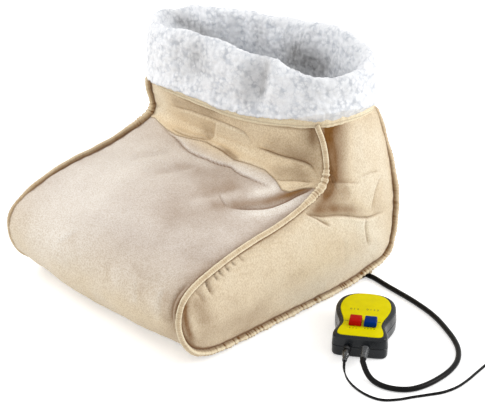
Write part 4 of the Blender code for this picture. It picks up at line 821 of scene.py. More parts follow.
def gusset_piece(name, node, ends, material, creases, seed, across=150, step=0.0017, puff=0.0012, slot=None, lip=0.0,
                 shading_spots=()):
    """A cloth panel across the boot, between two rows of the seam, with its creases. An end may be a table of shares
    across and rows. With a lip its last edge stands that far up and lies on its neighbour."""
    even = np.linspace(-1, 1, across)
    shares = np.sin(even * math.pi / 2) * EDGE_CROWDING + even * (1 - EDGE_CROWDING)
    first, last = (read(end, shares) if isinstance(end, tuple) else np.full(across, end) for end in ends)
    share, run = seam_steps(first.min(), last.max(), step)
    rows = first + (last - first) * share
    grid = gusset_grid(rows, shares, 0.0, EDGE_TUCK)
    out = outwards(grid, rows[:, across // 2])
    edge = np.minimum(np.abs(grid[..., 0] - grid[:, :1, 0]), np.abs(grid[..., 0] - grid[:, -1:, 0]))
    from_start, from_end = run[:, None], (run[-1] - run)[:, None]
    left, right = (ripple(run, PUCKER_PITCH, seed + k)[:, None] for k in (0, 1))
    push = puffed(grid.reshape(-1, 3), puff, 0.055, seed).reshape(edge.shape)
    push += puckered(edge, np.where(grid[..., 0] < 0, left, right), 0.013)
    dents, crease_shade, painted_shading = marked(grid, out, creases, shading_spots)
    push += dents
    push *= 1 - bell(np.minimum(edge, np.minimum(from_start, from_end)), SEAM_HOLD)
    fold = crease_shade + seam_shade(edge)
    if lip:
        roll = bell(np.maximum(from_end - LIP_ROUNDING, 0), 0.010) * np.clip(edge / 0.012, 0, 1)
        push += roll * np.sqrt(np.clip(from_end / LIP_ROUNDING, 0.05, 1)) * lip
        fold = np.maximum(fold, LIP_SHADE * np.maximum(bell(from_start, 0.0022), bell(from_end, 0.0012)))
    grid = grid + out * push[..., None]
    painted_shading -= np.where(grid[..., 0] > 0, EDGE_SHADE, 0) * bell(edge, EDGE_REACH)
    full = skirted(grid, out * -0.004)
    piece = mesh_piece(name, full.reshape(-1, 3), grid_faces(*full.shape[:2]), material, slot, fold=spread(fold),
                       closed=False, painted_shading=spread(painted_shading))
    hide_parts(node)


def side_piece(name, node, side, creases, seed, shading_spots=(), count=640, rings=110):
    """A side panel of cloth in rings about a middle place, with its creases."""
    loop, run = side_loop(count)
    flat = (SIDE_MIDDLE + (loop - SIDE_MIDDLE) * np.linspace(0.012, 1, rings)[:, None, None]).reshape(-1, 2)
    away = seam_distance(flat)
    points = lean(np.column_stack([side * side_x(flat), flat]))
    seen = pixels(points) if side > 0 else flat
    dents, crease_shade, painted_shading = creased(seen, creases)
    painted_shading += painted_spot_shading(seen, shading_spots) - EDGE_SHADE * bell(away, EDGE_REACH)
    push = puffed(points, SIDE_PUFF, 0.06, seed) + dents
    push += puckered(away, np.tile(ripple(run, PUCKER_PITCH, seed), rings), 0.014)
    push *= (1 - bell(away, SEAM_HOLD)) * (1 - bell(COLLAR_HEIGHT - flat[:, 1], SEAM_HOLD))
    grid = points.reshape(rings, count, 3)
    out = grid_normals(np.concatenate([grid[:, -2:], grid, grid[:, :2]], axis=1))[:, 2:-2]
    out = np.where(out[..., :1] * side < 0, -out, out)
    out[0] = (side, 0, 0)
    grid = grid + out * push.reshape(rings, count, 1)
    inward = np.column_stack([np.full(count, -side * 0.0045), unit(SIDE_MIDDLE - loop) * 0.002])
    points = np.concatenate([grid.reshape(-1, 3), grid[-1] + inward, [grid[0].mean(axis=0)]])
    hub = len(points) - 1
    faces = grid_faces(rings + 1, count, wrap_columns=True) + [[hub, (j + 1) % count, j] for j in range(count)]
    if side > 0:
        faces = [face[::-1] for face in faces]
    fold = crease_shade + seam_shade(away)
    fold, painted_shading = (np.concatenate([values, values[-count:], values[:1]]) for values in (fold, painted_shading))
    piece = mesh_piece(name, points, faces, "side_suede", fold=fold, closed=False, painted_shading=painted_shading)
    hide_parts(node)


# Creases that show in the photograph, in its pixels: line, depth in millimetres, half width in pixels, how far the
#  cloth on the left of the line stands up in millimetres, and how far that reaches in pixels; each is also painted
#  darker along its bottom, and lit and shaded on its two sides
VAMP_CREASES = (
    (((57, 244), (66, 239), (80, 229)), 0.7, 2.0, -0.7, 6),
    (((139, 280), (137, 290), (139, 304)), 0.5, 2.5, 0.9, 6),
    (((166, 286), (161, 304), (163, 326)), 0.9, 3.0, 1.0, 7),
    (((113, 262), (110, 272), (114, 288)), 0.5, 2.5, -0.7, 6),
    (((128, 262), (134, 272), (144, 284)), 0.4, 2.5, 0.5, 6),
    (((126, 162), (150, 156), (176, 152)), 0.6, 2.2, 0.7, 7),
    (((150, 176), (176, 171), (200, 166)), 0.6, 2.2, 0.7, 7),
    (((184, 200), (214, 196), (246, 188)), 0.5, 3.0, 0.8, 9),
    (((218.5, 194), (222, 201), (226, 207.5)), 1.3, 1.2, -0.3, 4),
    (((222, 206.5), (238, 208.5), (250, 209), (261, 208.7), (273, 206), (285, 201), (296, 195.5), (307, 191),
      (322, 183)), 2.2, 1.4, 0.8, 7),
    (((153, 120), (160, 125), (167, 131.7), (178, 140), (185, 147.5), (193, 153), (205, 158), (215, 162.5),
      (231.7, 166.7), (236, 171), (250, 178), (260, 183), (270, 189), (276, 193)), 2.2, 1.2, -0.8, 6),
    (((171, 326), (172.5, 314), (175, 302), (180, 292), (190, 282)), 1.8, 1.8, 0.0, 1),
)
SHAFT_CREASES = (
    (((165, 103), (180, 108), (193, 111.7), (210, 118), (222, 122.5), (233, 127), (243, 131.7), (250, 140),
      (253, 148)), 1.5, 1.2, 0.6, 8),
    (((216, 119), (214.5, 130), (213, 137), (207, 142)), 1.1, 1.2, -1.1, 12),
    (((170, 128), (180, 134), (192, 138), (204, 139.5), (212, 142)), 1.7, 1.4, 0.6, 7),
    (((202, 139), (210, 145), (222, 151), (230, 158), (238, 166)), 2.4, 1.2, 0.8, 8),
    (((252, 146), (260, 149), (268, 151.7), (280, 155.8), (293, 159), (306.7, 163), (314, 169), (318, 177)),
     2.2, 1.4, 0.8, 9),
    (((270, 179.5), (280, 181), (297, 180.5), (308, 182), (318, 181)), 1.5, 1.2, 0.5, 6),
    (((284, 190), (300, 188), (314, 183)), 1.2, 1.4, 0.4, 6),
)
SIDE_CREASES = (
    (((324, 182), (340, 182.5), (362, 183)), 1.3, 1.2, 0.5, 6),
    (((300, 211), (309, 214.5), (322, 216.7), (337, 215.5), (351, 216.5), (367, 218), (380, 213), (388, 208)),
     1.9, 1.3, 1.0, 10),
    (((304, 212), (317, 219), (332, 227.5)), 1.9, 1.4, 0.5, 6),
    (((366, 216), (365.5, 228), (369, 248)), 1.4, 1.3, 0.7, 8),
    (((360, 177), (369, 173), (380, 171)), 1.1, 1.2, 0.4, 5),
    (((344, 184), (349, 191), (350, 201)), 0.8, 2.0, -0.6, 7),
    (((382, 174), (377, 187), (374, 200), (371, 214)), 1.2, 1.3, 0.7, 7),
    (((343, 236), (346, 250), (347, 268)), 0.7, 2.4, -0.5, 8),
    (((198, 268), (205, 280), (209, 288), (213, 297)), 2.6, 1.5, 0.9, 6),
    (((208, 262), (214, 275), (219, 282)), 2.3, 1.1, 0.6, 4),
    (((213, 260), (219, 271), (225, 278)), 1.9, 0.9, 0.5, 4),
    (((220, 256), (226, 267), (231, 273)), 2.0, 1.0, 0.5, 4),
    (((227, 251), (232, 262), (237, 267)), 1.7, 0.9, 0.4, 3),
    (((234, 247), (239, 257), (245, 263)), 1.5, 1.0, 0.4, 4),
    (((188, 282), (196, 291), (201, 297), (204, 305)), 1.3, 1.8, 0.5, 5),
)
# Painted light and shade, in the photograph's pixels: line, reach, amount, below 0 painted shade, above 0 painted
# light
VAMP_PAINTED_SHADING = (
    (((30, 280), (60, 225), (100, 185), (160, 140)), 36, 0.52),
    (((120, 182), (160, 200), (200, 236)), 22, -0.12),
    (((166, 262), (184, 258), (200, 250)), 10, -0.12),
    (((170, 168), (196, 180), (216, 192)), 10, -0.14),
    (((214, 268), (240, 248), (270, 230), (310, 206)), 9, -0.30),
    (((172, 348), (178, 312), (192, 286), (220, 262)), 14, -0.42),
    (((206, 203), (222, 205), (240, 206)), 6, -0.45),
    (((236, 204), (250, 204), (264, 202), (282, 197), (300, 190), (322, 180)), 5, -0.48),
    (((270, 198), (290, 192), (308, 186), (324, 180)), 7, -0.34),
    (((252, 194), (266, 192), (280, 187)), 5.0, 0.75),
    (((244, 215), (268, 213), (288, 205), (308, 195)), 4.5, 0.60),
    (((170, 130), (186, 141), (200, 149), (226, 160)), 5.0, -0.06),
    (((232, 164), (246, 170), (260, 177), (272, 184)), 4.5, 0.55),
    (((186, 168), (210, 174), (240, 184)), 9, -0.34),
    (((160, 205), (200, 213), (236, 222)), 14, -0.16),
    (((196, 184), (220, 190), (240, 194)), 7, -0.20),
    (((176, 152), (196, 160), (216, 166)), 6, 0.25),
    (((90, 292), (120, 300)), 26, 0.20),
)
SHAFT_PAINTED_SHADING = (
    (((236, 122), (248, 136), (252, 158), (240, 176)), 15, 0.20),
    (((268, 170), (292, 172), (312, 176)), 8, -0.22),
    (((282, 150), (294, 156), (302, 172)), 9, -0.26),
    (((148, 88), (157, 102), (163, 114)), 10, 1.30),
    (((312, 108), (312, 126), (313, 138), (314, 148)), 5.0, -0.42),
    (((303, 108), (306, 128), (309, 150), (312, 166)), 11, -0.24),
    (((222, 128), (238, 137), (250, 150)), 9, 0.42),
    (((238, 158), (256, 164), (270, 170)), 6, 0.20),
    (((172, 118), (190, 126), (206, 130)), 8, 0.10),
    (((164, 98), (190, 104), (220, 113)), 5, -0.30),
    (((262, 138), (285, 145), (300, 150)), 9, -0.10),
    (((280, 168), (296, 172), (312, 176)), 7, -0.16),
    (((250, 126), (270, 128), (290, 132)), 7, 0.15),
    (((222, 150), (232, 156), (240, 162)), 3, -0.45),
)
SIDE_PAINTED_SHADING = (
    (((325, 104), (327, 128), (328.5, 145), (330, 162), (331, 178), (327, 194), (316, 210)), 5.0, -0.62),
    (((322, 190), (334, 196), (326, 208)), 10, -0.28),
    (((318, 116), (330, 118), (344, 117)), 9, -0.34),
    (((326, 140), (328, 152), (330, 166)), 6, -0.30),
    (((334, 108), (336, 140), (338, 166), (340, 190)), 11, -0.42),
    (((360, 120), (362, 140), (366, 190), (368, 206)), 11, 0.30),
    (((378, 130), (382, 160), (386, 190)), 8, 0.30),
    (((336, 228), (356, 226), (376, 232)), 13, 0.42),
    (((316, 210), (340, 209), (360, 211)), 5.5, -0.40),
    (((372, 225), (374, 240), (372, 255)), 8, 0.35),
    (((290, 248), (315, 238)), 16, 0.20),
    (((206, 336), (230, 325), (262, 312), (280, 300)), 12, -0.30),
    (((270, 316), (300, 298), (336, 280), (364, 264), (390, 246)), 14, 0.36),
    (((333, 96), (336, 120), (336, 150), (334, 176), (324, 208)), 12, -0.34),
    (((186, 298), (185, 312), (187, 326), (192, 342)), 3.5, -0.80),
    (((196, 296), (200, 310), (206, 326)), 9, -0.40),
    (((345, 186), (349, 194), (348, 204)), 6, -0.12),
)
# The same kinds of folds on the side that the photograph doesn't show, as Y and Z in metres
LEFT_CREASES = (
    (((0.028, 0.118), (0.048, 0.110), (0.075, 0.108), (0.105, 0.114)), 1.6, 0.0018, 0.8, 0.010),
    (((0.034, 0.117), (0.026, 0.106), (0.016, 0.100)), 1.5, 0.0018, 0.4, 0.006),
    (((0.078, 0.108), (0.082, 0.094), (0.080, 0.078)), 1.2, 0.0018, 0.5, 0.008),
    (((0.045, 0.142), (0.060, 0.139), (0.082, 0.141)), 1.0, 0.0016, 0.4, 0.006),
    (((-0.060, 0.088), (-0.045, 0.083), (-0.020, 0.082)), 0.9, 0.0020, 0.4, 0.008),
)

# Where the shaft's front cloth ends on the vamp: share across the boot, row of the seam
INSTEP_SEAM_SHARES = (
    (-1.0, 4.0), (-0.9, 4.0), (-0.8, 4.35), (-0.65, 4.75), (-0.5, 4.93), (-0.35, 4.8), (-0.2, 4.58), (-0.05, 4.7),
    (0.2, 5.0), (0.35, 4.8), (0.5, 4.72), (0.65, 5.0), (0.76, 5.35), (0.82, 5.25), (0.88, 4.6),
    (0.94, 4.2), (1.0, 4.05),
)
gusset_piece("vamp_cloth", "vamp_panel", (INSTEP_SEAM_SHARES, VAMP_ROWS[1]), "vamp_suede", VAMP_CREASES, 1.0,
             across=230, step=0.0014, puff=0.0018, shading_spots=VAMP_PAINTED_SHADING)
gusset_piece("shaft_front_cloth", "shaft_front_panel", (SHAFT_ROWS[0], INSTEP_SEAM_SHARES), "shaft_suede",
             SHAFT_CREASES, 2.0, step=0.0011, across=240, puff=0.0010, slot="side_suede", lip=0.0016,
             shading_spots=SHAFT_PAINTED_SHADING)
gusset_piece("back_cloth", "back_panel", (BACK_CLOTH_FOOT, BACK_ROWS[1]), "side_suede", (), 3.0, across=130)
side_piece("side_cloth_right", "side_panel_right", 1, SIDE_CREASES, 4.0, SIDE_PAINTED_SHADING)
side_piece("side_cloth_left", "side_panel_left", -1, LEFT_CREASES, 5.0)


# Seam bindings and the collar's binding

# How tightly the tape is gathered, by the row of the seam
GATHER_BY_ROW = (
    (0.0, 0.10), (2.0, 0.15), (2.8, 1.2), (4.6, 1.1), (5.6, 0.2), (9.0, 0.12), (12.0, 0.2), (15.0, 0.18), (16.6, 0.4),
    (18.5, 0.9), (23.0, 1.0), (24.6, 0.8), (26.0, 0.45), (33.0, 0.35),
)
TAPE_TUCK = 0.0045
TAPE_TUCK_DEPTH = 0.0030
TAPE_HALF_WIDTH = 0.0030
TAPE_ROUNDNESS = 0.78
TAPE_STAND = 0.0022
TAPE_ROOT = 0.0046
STITCH_PITCH = 0.0026
STITCH_PLACE = 0.0014
STITCH_DEPTH = 0.00022
BEAD_PITCH = 0.0050
# How much painted shade darkens the tape, and how far it swells, by the row of the seam
TAPE_SHADE_BY_ROW = ((0.0, 0.0), (24.2, 0.0), (25.6, 0.75), (33.0, 0.75))
TAPE_SWELL_BY_ROW = ((2.2, 0.0), (3.2, 0.0012), (4.7, 0.0012), (5.8, 0.0))
# How much more painted shade darkens the left tape, by the row of the seam
LEFT_TAPE_SHADE_BY_ROW = (
    (0.0, 0.1), (3.0, 0.3), (4.0, 0.6), (8.0, 0.4), (10.5, 1.1), (13.0, 1.1), (15.0, 0.5), (17.6, 0.4), (33.0, 0.4),
)
# How far the tape lies sunk between its two panels, by the row of the seam
RIGHT_SINK_BY_ROW = ((0.0, 0.0), (29.5, 0.0), (31.5, 0.0030), (33.0, 0.0040))
LEFT_SINK_BY_ROW = (
    (8.0, 0.0), (9.5, 0.0010), (11.5, 0.0045), (16.0, 0.0055), (19.0, 0.0020), (21.0, 0.0), (30.0, 0.0),
)


def swept(centres, ways_a, ways_b, section, push=0.0):
    """Rings of places round a line: a closed cross-section, given in its two ways, pushed out from the line."""
    away = section[:, :1] * ways_a[:, None] + section[:, 1:] * ways_b[:, None]
    return centres[:, None] + away + unit(away) * push


def binding_piece(side, word, step=0.0006, sides=20):
    """Folded tape, gathered along the seam: it stands out from the corner where two panels meet."""
    fine = np.linspace(-0.3, LAST_ROW + 0.15, 1500)
    yz = seam_at(fine)[0]
    yz[:, 1] = np.minimum(yz[:, 1], COLLAR_HEIGHT + 0.75 * TAPE_TUCK)
    places = lean(np.column_stack([side * half_width(yz[:, 1]), yz]))
    run = run_of(places)
    even = np.linspace(0, run[-1], int(run[-1] / step))
    centres = at_lengths(even, run, places)
    rows = np.interp(even, run, fine)
    along = unit(np.gradient(centres, axis=0))
    outward = np.column_stack([np.full(len(rows), float(side)), seam_at(rows)[1]])
    outward = unit(outward - (outward * along).sum(1)[:, None] * along)
    across = np.cross(along, outward)

    turn = np.linspace(0, 2 * math.pi, sides, endpoint=False)
    level, height = (np.sign(wave) * np.abs(wave) ** TAPE_ROUNDNESS for wave in (np.cos(turn), np.sin(turn)))
    section = np.column_stack([
        level * np.where(level > 0, TAPE_STAND, TAPE_ROOT) - 0.0004,
        height * TAPE_HALF_WIDTH * np.where(level > 0, 1, 1 + 0.45 * level),
    ])
    seed = 11.0 + side
    gather = read(GATHER_BY_ROW, rows)
    beads = np.sin(2 * math.pi * even / BEAD_PITCH + 3.6 * ripple(even, 0.016, seed))
    wrinkle = beads * 0.5 + ripple(even, 0.0060, seed + 6) * 0.55
    sunk = TAPE_TUCK_DEPTH * np.clip(1 - np.minimum(even, even[-1] - even) / TAPE_TUCK, 0, 1)
    sunk += read(RIGHT_SINK_BY_ROW if side > 0 else LEFT_SINK_BY_ROW, rows) - 0.0004 * ripple(even, 0.02, seed + 5)
    wander = 0.0006 * ripple(even, 0.013, seed + 4) * gather
    centres = centres - outward * sunk[:, None] + across * wander[:, None]
    uneven = np.cos(turn + 0.9 * np.sin(even[:, None] / 0.006)) * 0.3 + 0.7
    push = (wrinkle * gather)[:, None] * uneven * 0.0010 + read(TAPE_SWELL_BY_ROW, rows)[:, None]
    stitch = bell(np.abs(section[:, 1]) - STITCH_PLACE, 0.0005) * (section[:, 0] > 0)
    beat = (0.5 + 0.5 * np.sin(2 * math.pi * even / STITCH_PITCH))[:, None]
    push -= stitch * STITCH_DEPTH * (1 + beat)
    # Painted shade where the tape is pinched and along its root; the stitches are darker
    pinch_shade = np.clip(-wrinkle - 0.38, 0, 0.25) / 0.25 * np.clip(gather, 0, 1)
    fold = pinch_shade[:, None] * 0.50 + np.where(section[:, 0] < -0.0020, 0.6, 0.0) + stitch * 0.35 * beat
    # Painted highlight on the rims, painted shade down the middle, painted light and shade on wrinkles and by row
    middle = bell(section[:, 1], 0.42 * TAPE_HALF_WIDTH)
    rim_highlight = bell(np.abs(section[:, 1]) - 0.86 * TAPE_HALF_WIDTH, 0.0007)
    shade = read(TAPE_SHADE_BY_ROW, rows)
    if side < 0:
        shade += read(LEFT_TAPE_SHADE_BY_ROW, rows)
    painted_shading = 0.9 * rim_highlight - 0.30 * middle + (0.45 * np.clip(wrinkle, -0.2, 0.6) * gather - shade)[:, None]
    rings = swept(centres, outward, across, section, push[..., None])
    piece = mesh_piece("seam_tape_" + word, rings.reshape(-1, 3), tube_faces(*rings.shape[:2]), "binding", fold=fold,
                       painted_shading=painted_shading)
    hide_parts("seam_binding_" + word)


for side, word in ((1, "right"), (-1, "left")):
    binding_piece(side, word)


# How far the cuff hangs down over its collar tape: share of the way round from the right front corner, millimetres
DROOP_SHARES = (
    (0.0, -8.5), (0.02, -4.2), (0.04, -0.5), (0.06, 2.0), (0.08, 3.8), (0.10, 6.2), (0.12, 8.0), (0.14, 8.6),
    (0.16, 7.6), (0.18, 6.0), (0.20, 4.6), (0.24, 3.6), (0.28, 4.6), (0.31, 7.0), (0.34, 9.0), (0.37, 4.0),
    (0.40, 0.0), (0.84, 0.0), (0.90, -3.0), (0.92, -5.5), (0.94, -7.5), (0.96, -9.0), (0.98, -9.4), (1.0, -8.5),
)
# The collar tape's painted light, and its spots of painted shade
COLLAR_TAPE_PAINTED_LIGHT = 1.0
COLLAR_STITCH_HEIGHT = 0.0018
COLLAR_PAINTED_SHADING = (
    (((290, 124), (312, 128), (332, 127), (350, 120)), 9, -0.70),
)
# how far out of the cloth, and how high on the tape
COLLAR_TAPE_PROFILE = (
    (-0.0065, 0.0), (-0.002, -0.0010), (0.0010, -0.0010), (0.0022, 0.0000), (0.0024, 0.0008), (0.0020, 0.0018),
    (0.0024, 0.0030), (0.0027, 0.0060), (0.0025, 0.0080), (0.0016, 0.0094), (0.0, 0.0100), (-0.003, 0.0100),
    (-0.0065, 0.0098),
)


def droop(count):
    """How far the cuff hangs down at each of a number of places round it, as a column."""
    return read(DROOP_SHARES, np.arange(count) / count)[:, None] * MM


def collar_piece(count=620):
    """Flat tape round the boot's top edge, slightly gathered, with a line of stitches near its lower edge."""
    loop = collar_places(count)
    out = loop_ways_out(loop)
    reach, up = np.array(COLLAR_TAPE_PROFILE).T
    run = run_of(loop)
    wave, fine = (ripple(run, pitch, seed)[:, None] for pitch, seed in ((0.008, 21.0), (0.0035, 22.0)))
    outer = np.clip((reach + 0.001) / 0.002, 0, 1)
    hang = droop(count)
    lowest = collar_rise(*loop.T)[:, None] - 0.55 * np.maximum(hang, 0)
    higher = 0.8 * np.maximum(-hang, 0)
    share = up / COLLAR_BINDING_HEIGHT
    level = COLLAR_HEIGHT + PIECE_GAP + up + np.where(outer > 0, lowest * (1 - share) + higher * share, 0)
    away = reach + (wave * 0.0004 + fine * 0.0003) * outer
    points = np.concatenate([loop[:, None] + out[:, None] * away[..., None], level[..., None]], axis=2).reshape(-1, 3)
    fold = np.where(np.abs(up - COLLAR_STITCH_HEIGHT) < 0.0004, 0.30, 0.0) * outer
    # Painted light over the whole tape, on its ribs and along its lower edge, and painted shade from its spots
    painted_shading = COLLAR_TAPE_PAINTED_LIGHT + 0.12 * fine + np.where(up < 0.001, 0.35, 0.0)
    painted_shading += painted_spot_shading(pixels(points), COLLAR_PAINTED_SHADING).reshape(painted_shading.shape)
    piece = mesh_piece("collar_tape", points, grid_faces(count, len(up), True, True), "binding",
                       fold=np.broadcast_to(fold, painted_shading.shape), painted_shading=painted_shading)
    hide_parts("collar_binding")


collar_piece()


# Fleece

# Upright folds of the cuff that show in the photograph, and the painted light and shade of its fleece, in its pixels
CUFF_CREASES = (
    (((259, 46), (260, 62), (257, 80), (252, 100)), 4.2, 8.0, 0.0, 1),
    (((278, 48), (278, 64), (277, 82), (273, 104)), -1.4, 7.0, 0.0, 1),
    (((200, 36), (197, 52), (196, 66), (198, 82)), 2.6, 9.0, 0.0, 1),
    (((178, 36), (177, 50), (178, 66)), 1.6, 6.0, 0.0, 1),
    (((312, 78), (320, 92), (326, 106)), 1.6, 9.0, 0.0, 1),
    (((222, 84), (232, 98), (242, 108)), 1.4, 8.0, 0.0, 1),
)
CUFF_PAINTED_SHADING = (
    (((216, 72), (218, 84), (220, 96)), 7, 0.40),
    (((288, 84), (292, 94)), 10, 0.22),
    (((265, 56), (265, 66), (263, 78), (258, 98)), 6.0, -0.70),
    (((254, 60), (252, 72), (249, 88), (246, 106)), 9, -0.34),
    (((322, 82), (340, 92), (352, 104)), 20, -0.26),
    (((186, 52), (204, 62), (212, 84)), 10, -0.20),
    (((244, 64), (239, 80), (238, 98)), 9, -0.14),
    (((198, 40), (195, 56), (194, 78)), 10, -0.34),
    (((179, 38), (177, 50), (178, 66)), 7, -0.18),
    (((300, 76), (310, 92), (322, 106)), 10, -0.14),
    (((280, 112), (292, 114), (306, 115)), 5, -0.12),
)
CUFF_INSIDE_PAINTED_SHADING = (
    (((226, 20), (234, 24), (238, 34)), 7, 0.45),
    (((270, 28), (275, 36), (276, 42)), 6, 0.50),
    (((170, 16), (184, 22), (202, 32), (214, 37)), 9, -0.75),
    (((256, 22), (259, 34), (262, 52)), 9, -0.30),
    (((284, 46), (300, 56), (314, 64), (330, 76)), 15, -0.95),
    (((278, 62), (290, 70), (304, 78)), 12, -0.40),
)
CUFF_SECTION_SHARES = ((0.0, 0.0), (-0.06, 0.35), (0.02, 0.76), (0.22, 0.96), (0.50, 1.0), (0.82, 0.86), (1.0, 0.40))
CUFF_WAVE = 0.0016
CUFF_HANG_SHARE = 0.55
CUFF_FOOT_SPREAD = 0.0032
CUFF_FOOT_HEIGHT = 0.016
TUFT_SIZE = 0.0042
CUFF_TUFT_SIZE = 0.0062
PILE_DEPTH = 0.0015
CUFF_PILE_DEPTH = 0.0014


def tufted(points, size, seed, depth):
    """How far curled fleece stands out at places, as round tufts of about size metres, and the gaps between tufts,
    from 0 to 1, which are painted as shade.
    """
    shift = Vector((seed * 1.7, seed * 2.3, seed * 0.9))
    warp = noise_field(points, size * 2.2, seed + 9, 1) * 0.35
    near, next_near = np.array([
        noise.voronoi(Vector(p) / size + shift + Vector((w, -w, w)), distance_metric="DISTANCE", exponent=2.0)[0][:2]
        for p, w in zip(points, warp)
    ]).T
    round_top = 1 - np.clip(near / 0.75, 0, 1) ** 2
    small = noise_field(points, size * 0.45, seed + 4, 2)
    clumps = noise_field(points, size * 4.5, seed + 6, 1)
    push = depth * (0.85 * round_top + 0.28 * small + 0.5 * clumps - 0.55)
    gap_shade = np.clip(1 - (next_near - near) / 0.30, 0, 1) * np.clip(0.6 - round_top, 0, 1)
    return push, gap_shade


def fleece_sheet(name, node, grid, out, seed, size=TUFT_SIZE, depth=PILE_DEPTH, wrap=False, closed=False, painted_shading=None):
    """Fleece over a grid of places, with the ways out of its pile side."""
    flat = grid.reshape(-1, 3)
    push, gap_shade = tufted(flat, size, seed, depth)
    flat = flat + out.reshape(-1, 3) * push[:, None]
    # The gaps between tufts are painted as shade
    piece = mesh_piece(name, flat, grid_faces(*grid.shape[:2], wrap, closed), "fleece", fold=gap_shade * 0.4,
                       closed=closed and wrap, painted_shading=painted_shading)
    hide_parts(node)


def cuff_grid(loop, base, across):
    """Places round the cuff and round its section, before its creases."""
    stations = len(loop)
    shares = np.arange(stations) / stations
    tail = COLLAR_HEIGHT + LAYER_GAP
    step = COLLAR_BINDING_THICKNESS - COLLAR_BINDING_PROUD + LAYER_GAP
    inward, up = np.array(CUFF_SECTION_SHARES).T
    last = ((CUFF_FOOT_PROUD - CUFF_THICKNESS, tail), (-step, tail), (-step, base))
    grid = np.empty((stations, across, 3))
    rounds = zip(loop, loop_ways_out(loop), rim_round(shares), cuff_fold(shares))
    for k, (where, out, (height, proud), fold) in enumerate(rounds):
        drawn = fold * np.minimum(1.0, up * 2) + CUFF_THICKNESS * inward
        section = np.concatenate([np.column_stack([proud - drawn, base + height * up]), last])
        line = np.concatenate([smooth_route(section[:8], 0.001), section[8:], section[:1]])
        run = run_of(line)
        reach, level = at_lengths(np.linspace(0, run[-1], across + 1)[:-1], run, line).T
        grid[k] = np.column_stack([where + out * reach[:, None], level])
    return grid


def cuff_piece(stations=600, across=112):
    """The tall ring of fleece: it stands on the collar, in soft upright folds, with an uneven rim."""
    loop = collar_places(stations)
    base = COLLAR_HEIGHT + 2 * PIECE_GAP + COLLAR_BINDING_HEIGHT
    grid = cuff_grid(loop, base, across)
    out = grid_normals(np.pad(grid, ((2, 2), (2, 2), (0, 0)), mode="wrap"))[2:-2, 2:-2]
    if ((grid - grid.mean(axis=1, keepdims=True)) * out).sum() < 0:
        out = -out
    outside = (out[..., :2] * (grid[..., :2] - loop.mean(axis=0))).sum(-1) > 0
    dents, _, painted_shading = marked(grid, out, CUFF_CREASES, CUFF_PAINTED_SHADING)
    painted_shading = np.where(outside, painted_shading, marked(grid, out, (), CUFF_INSIDE_PAINTED_SHADING)[2])
    waves = noise_field(grid.reshape(-1, 3) * (1, 1, 0.35), 0.028, 31.0).reshape(outside.shape)
    grid = grid + out * (CUFF_WAVE * waves + dents * outside)[..., None]
    hang = droop(stations)
    low = np.clip(1 - (grid[..., 2] - base) / (CUFF_HANG_SHARE * CUFF_HEIGHT), 0, 1)
    grid[..., 2] -= hang * low * outside
    foot = np.clip(1 - (grid[..., 2] + hang - base) / CUFF_FOOT_HEIGHT, 0, 1)
    grid = grid + out * (1, 1, 0) * (CUFF_FOOT_SPREAD * foot * outside)[..., None]
    fleece_sheet("cuff_fleece", "fleece_cuff", grid, out, 32.0, CUFF_TUFT_SIZE, CUFF_PILE_DEPTH, True, True, painted_shading)


cuff_piece()


def gusset_lining(name, node, ends, seed, across=90, step=0.0024):
    """Fleece behind a panel across the boot."""
    first, last = ends
    rows = first + (last - first) * seam_steps(first, last, step)[0]
    depth = PANEL_THICKNESS + LAYER_GAP + LINING_THICKNESS - PILE_DEPTH
    inset = PANEL_THICKNESS + LAYER_GAP + SIDE_LINING_GAP
    grid = gusset_grid(rows, np.linspace(-1, 1, across), depth, inset)
    fleece_sheet(name, node, grid, -outwards(grid, rows[:, 0]), seed)


def side_lining(name, node, side, seed, count=300, rings=60):
    """Fleece behind a side panel."""
    loop, _ = side_loop(count)
    kept = 1 - (PANEL_THICKNESS + LINING_EDGE_GAP) / np.linalg.norm(loop - SIDE_MIDDLE, axis=1)
    shares = np.linspace(0.02, 1, rings)[:, None] * kept
    flat = (SIDE_MIDDLE + (loop - SIDE_MIDDLE) * shares[..., None]).reshape(-1, 2)
    depth = PANEL_THICKNESS + SIDE_LINING_GAP + LINING_THICKNESS - PILE_DEPTH
    points = lean(np.column_stack([side * (side_x(flat) - depth), flat]))
    grid = points.reshape(rings, count, 3)
    fleece_sheet(name, node, grid, np.broadcast_to((-side, 0.0, 0.0), grid.shape), seed, closed=True)


gusset_lining("shaft_front_fleece", "lining_shaft_front", SHAFT_ROWS, 41.0)
gusset_lining("vamp_fleece", "lining_vamp", VAMP_ROWS, 42.0)
gusset_lining("back_fleece", "lining_back", BACK_ROWS, 43.0)
side_lining("side_fleece_right", "lining_right", 1, 44.0)
side_lining("side_fleece_left", "lining_left", -1, 45.0)


